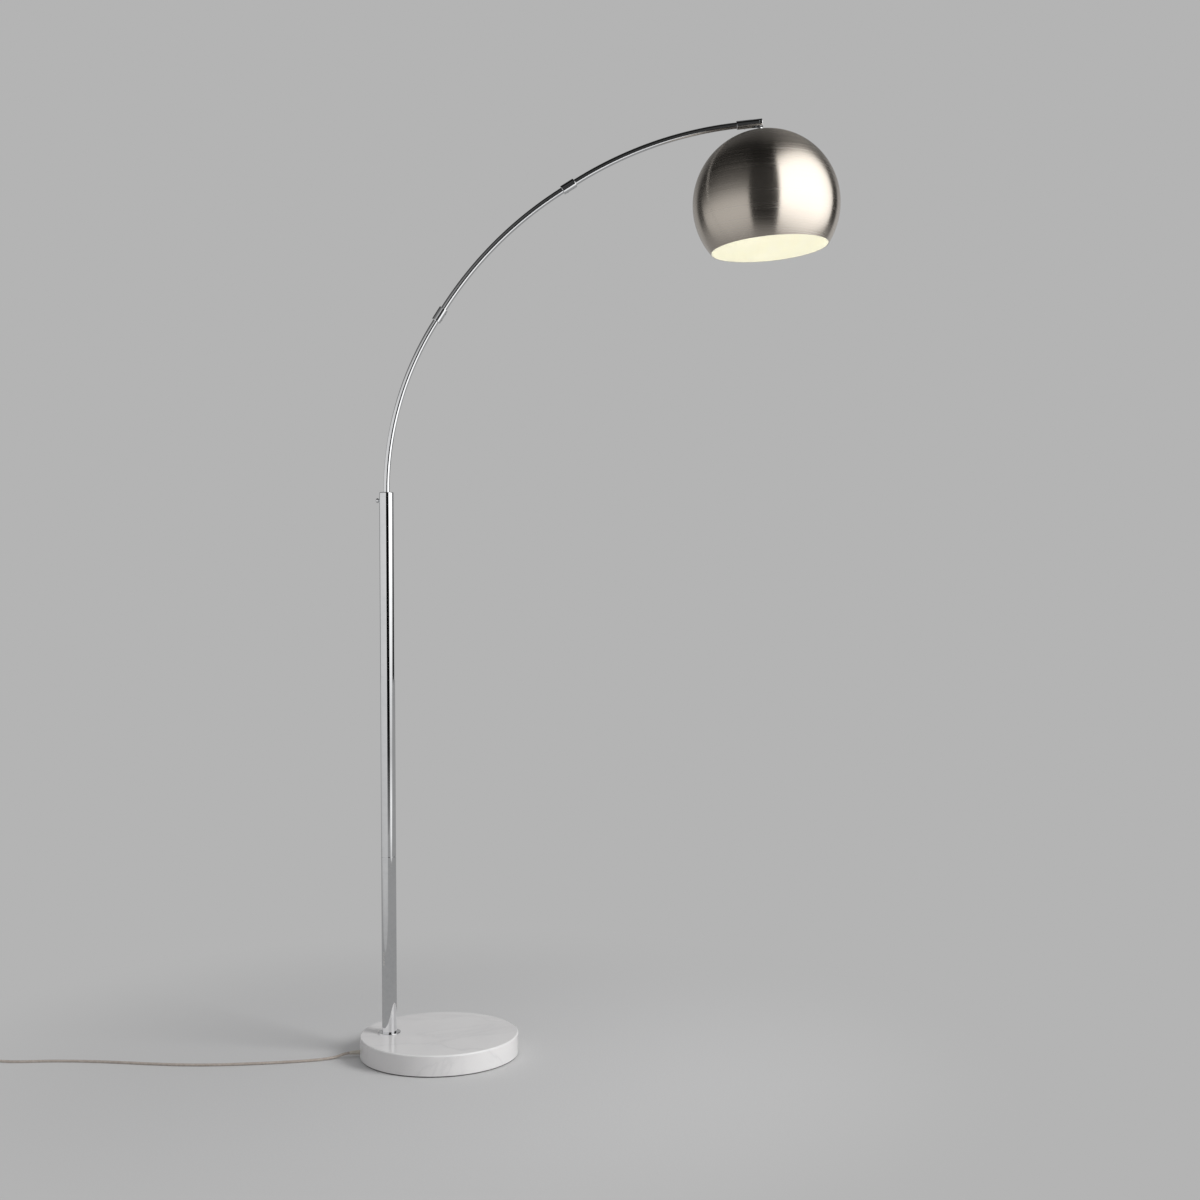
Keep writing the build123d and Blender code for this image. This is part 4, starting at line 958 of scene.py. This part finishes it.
CARD_WAIST = 1.25               # below this height a card may taper towards its foot
CARD_ROWS = 16
LEFT_OF_VIEW = (-0.18, -1.33)   # the floor points where the cards meet
RIGHT_OF_VIEW = (0.94, -1.33)


def card(name, start, end, bottom, top, across, upwards, strength=1.0, foot=1.0):
    """An upright glowing card between two floor points; the stops grade it across and upwards.

    foot is the share of its width that it keeps at the bottom, measured from its start.
    """
    made, tree = material(name)[:2]
    place = node(tree, "SeparateXYZ", {0: node(tree, "TexCoord").outputs["UV"]})
    level = ramp(tree, place.outputs["X"], *across)
    rise = ramp(tree, place.outputs["Y"], *upwards)
    both = node(tree, "Mix", {0: 1.0, 6: level, 7: rise}, data_type="RGBA", blend_type="MULTIPLY")
    glow = node(tree, "Emission", {"Color": both.outputs[2], "Strength": strength})
    tree.links.new(glow.outputs[0], tree.nodes["Material Output"].inputs["Surface"])
    run = Vector((*end, 0)) - Vector((*start, 0))
    middle = (Vector((*start, 0)) + Vector((*end, 0))) / 2
    middle.z = (bottom + top) / 2
    bpy.ops.object.select_all(action="DESELECT")
    bpy.ops.mesh.primitive_grid_add(
        size=1, x_subdivisions=1, y_subdivisions=CARD_ROWS,
        location=middle, rotation=(radians(90), 0, atan2(run.y, run.x)),
    )
    panel = bpy.context.object
    panel.name = name
    waist = (CARD_WAIST - bottom) / (top - bottom) - 0.5
    for corner in panel.data.vertices:
        if corner.co.x > 0 and corner.co.y < waist:
            fall = (waist - corner.co.y) / (waist + 0.5)
            corner.co.x -= (1 - foot) * fall
    panel.scale = (run.length, top - bottom, 1)
    panel.data.materials.append(made)
    panel.visible_camera = False
    panel.visible_diffuse = False
    panel.visible_transmission = False
    panel.visible_shadow = False


card(
    "right_card",
    start=RIGHT_OF_VIEW,
    end=(2.30, 0.70),
    bottom=0.1,
    top=3.6,
    across=((0.0, 0.85), (0.05, 1.0), (0.6, 1.0), (0.82, 0.8), (1.0, 0.55)),
    upwards=(
        (0.0, 0.3), (0.02, 0.45), (0.05, 0.48), (0.09, 0.31), (0.14, 0.40),
        (0.20, 0.55), (0.30, 0.75), (0.40, 1.0), (0.7, 1.0), (1.0, 0.5),
    ),
    strength=1.85,
    foot=0.3,
)
card(
    "left_card",
    start=LEFT_OF_VIEW,
    end=(-2.98, 2.26),
    bottom=0.0,
    top=3.2,
    across=((0.0, 0.66), (0.5, 0.62), (1.0, 0.50)),
    upwards=(
        (0.0, 0.55), (0.05, 0.72), (0.13, 0.80), (0.25, 0.92), (0.36, 1.0),
        (0.5, 0.95), (0.62, 0.25), (0.8, 0.10), (1.0, 0.06),
    ),
)
card(
    "black_card",
    start=LEFT_OF_VIEW,
    end=RIGHT_OF_VIEW,
    bottom=0.22,
    top=3.2,
    across=((0.0, 1.0), (1.0, 1.0)),
    upwards=(
        (0.0, 0.22), (0.03, 0.12), (0.07, 0.02), (0.1, 0.003),
        (0.3, 0.003), (0.36, 0.04), (1.0, 0.03),
    ),
)


def studio_world():
    """The room: plain grey behind the lamp, dim elsewhere, darker overhead."""
    world = bpy.data.worlds.new("studio")
    world.use_nodes = True
    tree = world.node_tree
    facing = node(tree, "TexCoord").outputs["Generated"]
    way = node(tree, "SeparateXYZ", {0: facing})
    front = node(tree, "Math", {0: way.outputs["Y"], 1: -1.0}, operation="MULTIPLY").outputs[0]
    swung = node(tree, "Math", {0: way.outputs["X"], 1: front}, operation="ARCTAN2").outputs[0]
    limits = {"Value": swung, "From Min": -pi, "From Max": pi}
    round_room = node(tree, "MapRange", limits).outputs["Result"]
    walls = ramp(
        tree, round_room,
        (0.0, 0.40), (0.095, 0.36), (0.115, 0.05), (0.18, 0.04),
        (0.80, 0.03), (0.868, 0.01), (0.885, 0.48), (1.0, 0.48),
    )
    limits = {"Value": way.outputs["Z"], "From Min": -1.0, "From Max": 1.0}
    height = node(tree, "MapRange", limits).outputs["Result"]
    overhead = ramp(tree, height, (0.50, 1.0), (0.60, 0.9), (0.75, 0.35), (1.0, 0.15))
    seen = node(tree, "Mix", {0: 1.0, 6: walls, 7: overhead}, data_type="RGBA", blend_type="MULTIPLY")
    path = node(tree, "LightPath")
    ambient = {0: path.outputs["Is Diffuse Ray"], 6: seen.outputs[2], 7: (0.40, 0.40, 0.405, 1)}
    lit = node(tree, "Mix", ambient, data_type="RGBA")
    plain = {0: path.outputs["Is Camera Ray"], 6: lit.outputs[2], 7: (BACKDROP, BACKDROP, BACKDROP, 1)}
    shown = node(tree, "Mix", plain, data_type="RGBA")
    tree.links.new(shown.outputs[2], tree.nodes["Background"].inputs["Color"])
    return world


bpy.context.scene.world = studio_world()

bpy.ops.object.light_add(type="AREA", location=(3.9, -1.9, 2.9))
key = bpy.context.object
key.name = "key_light"
key.data.shape = "DISK"
key.data.size = 2.4
key.data.energy = 172
key.rotation_euler = (-key.location).to_track_quat("-Z", "Y").to_euler()
key.visible_glossy = False
key.visible_camera = False
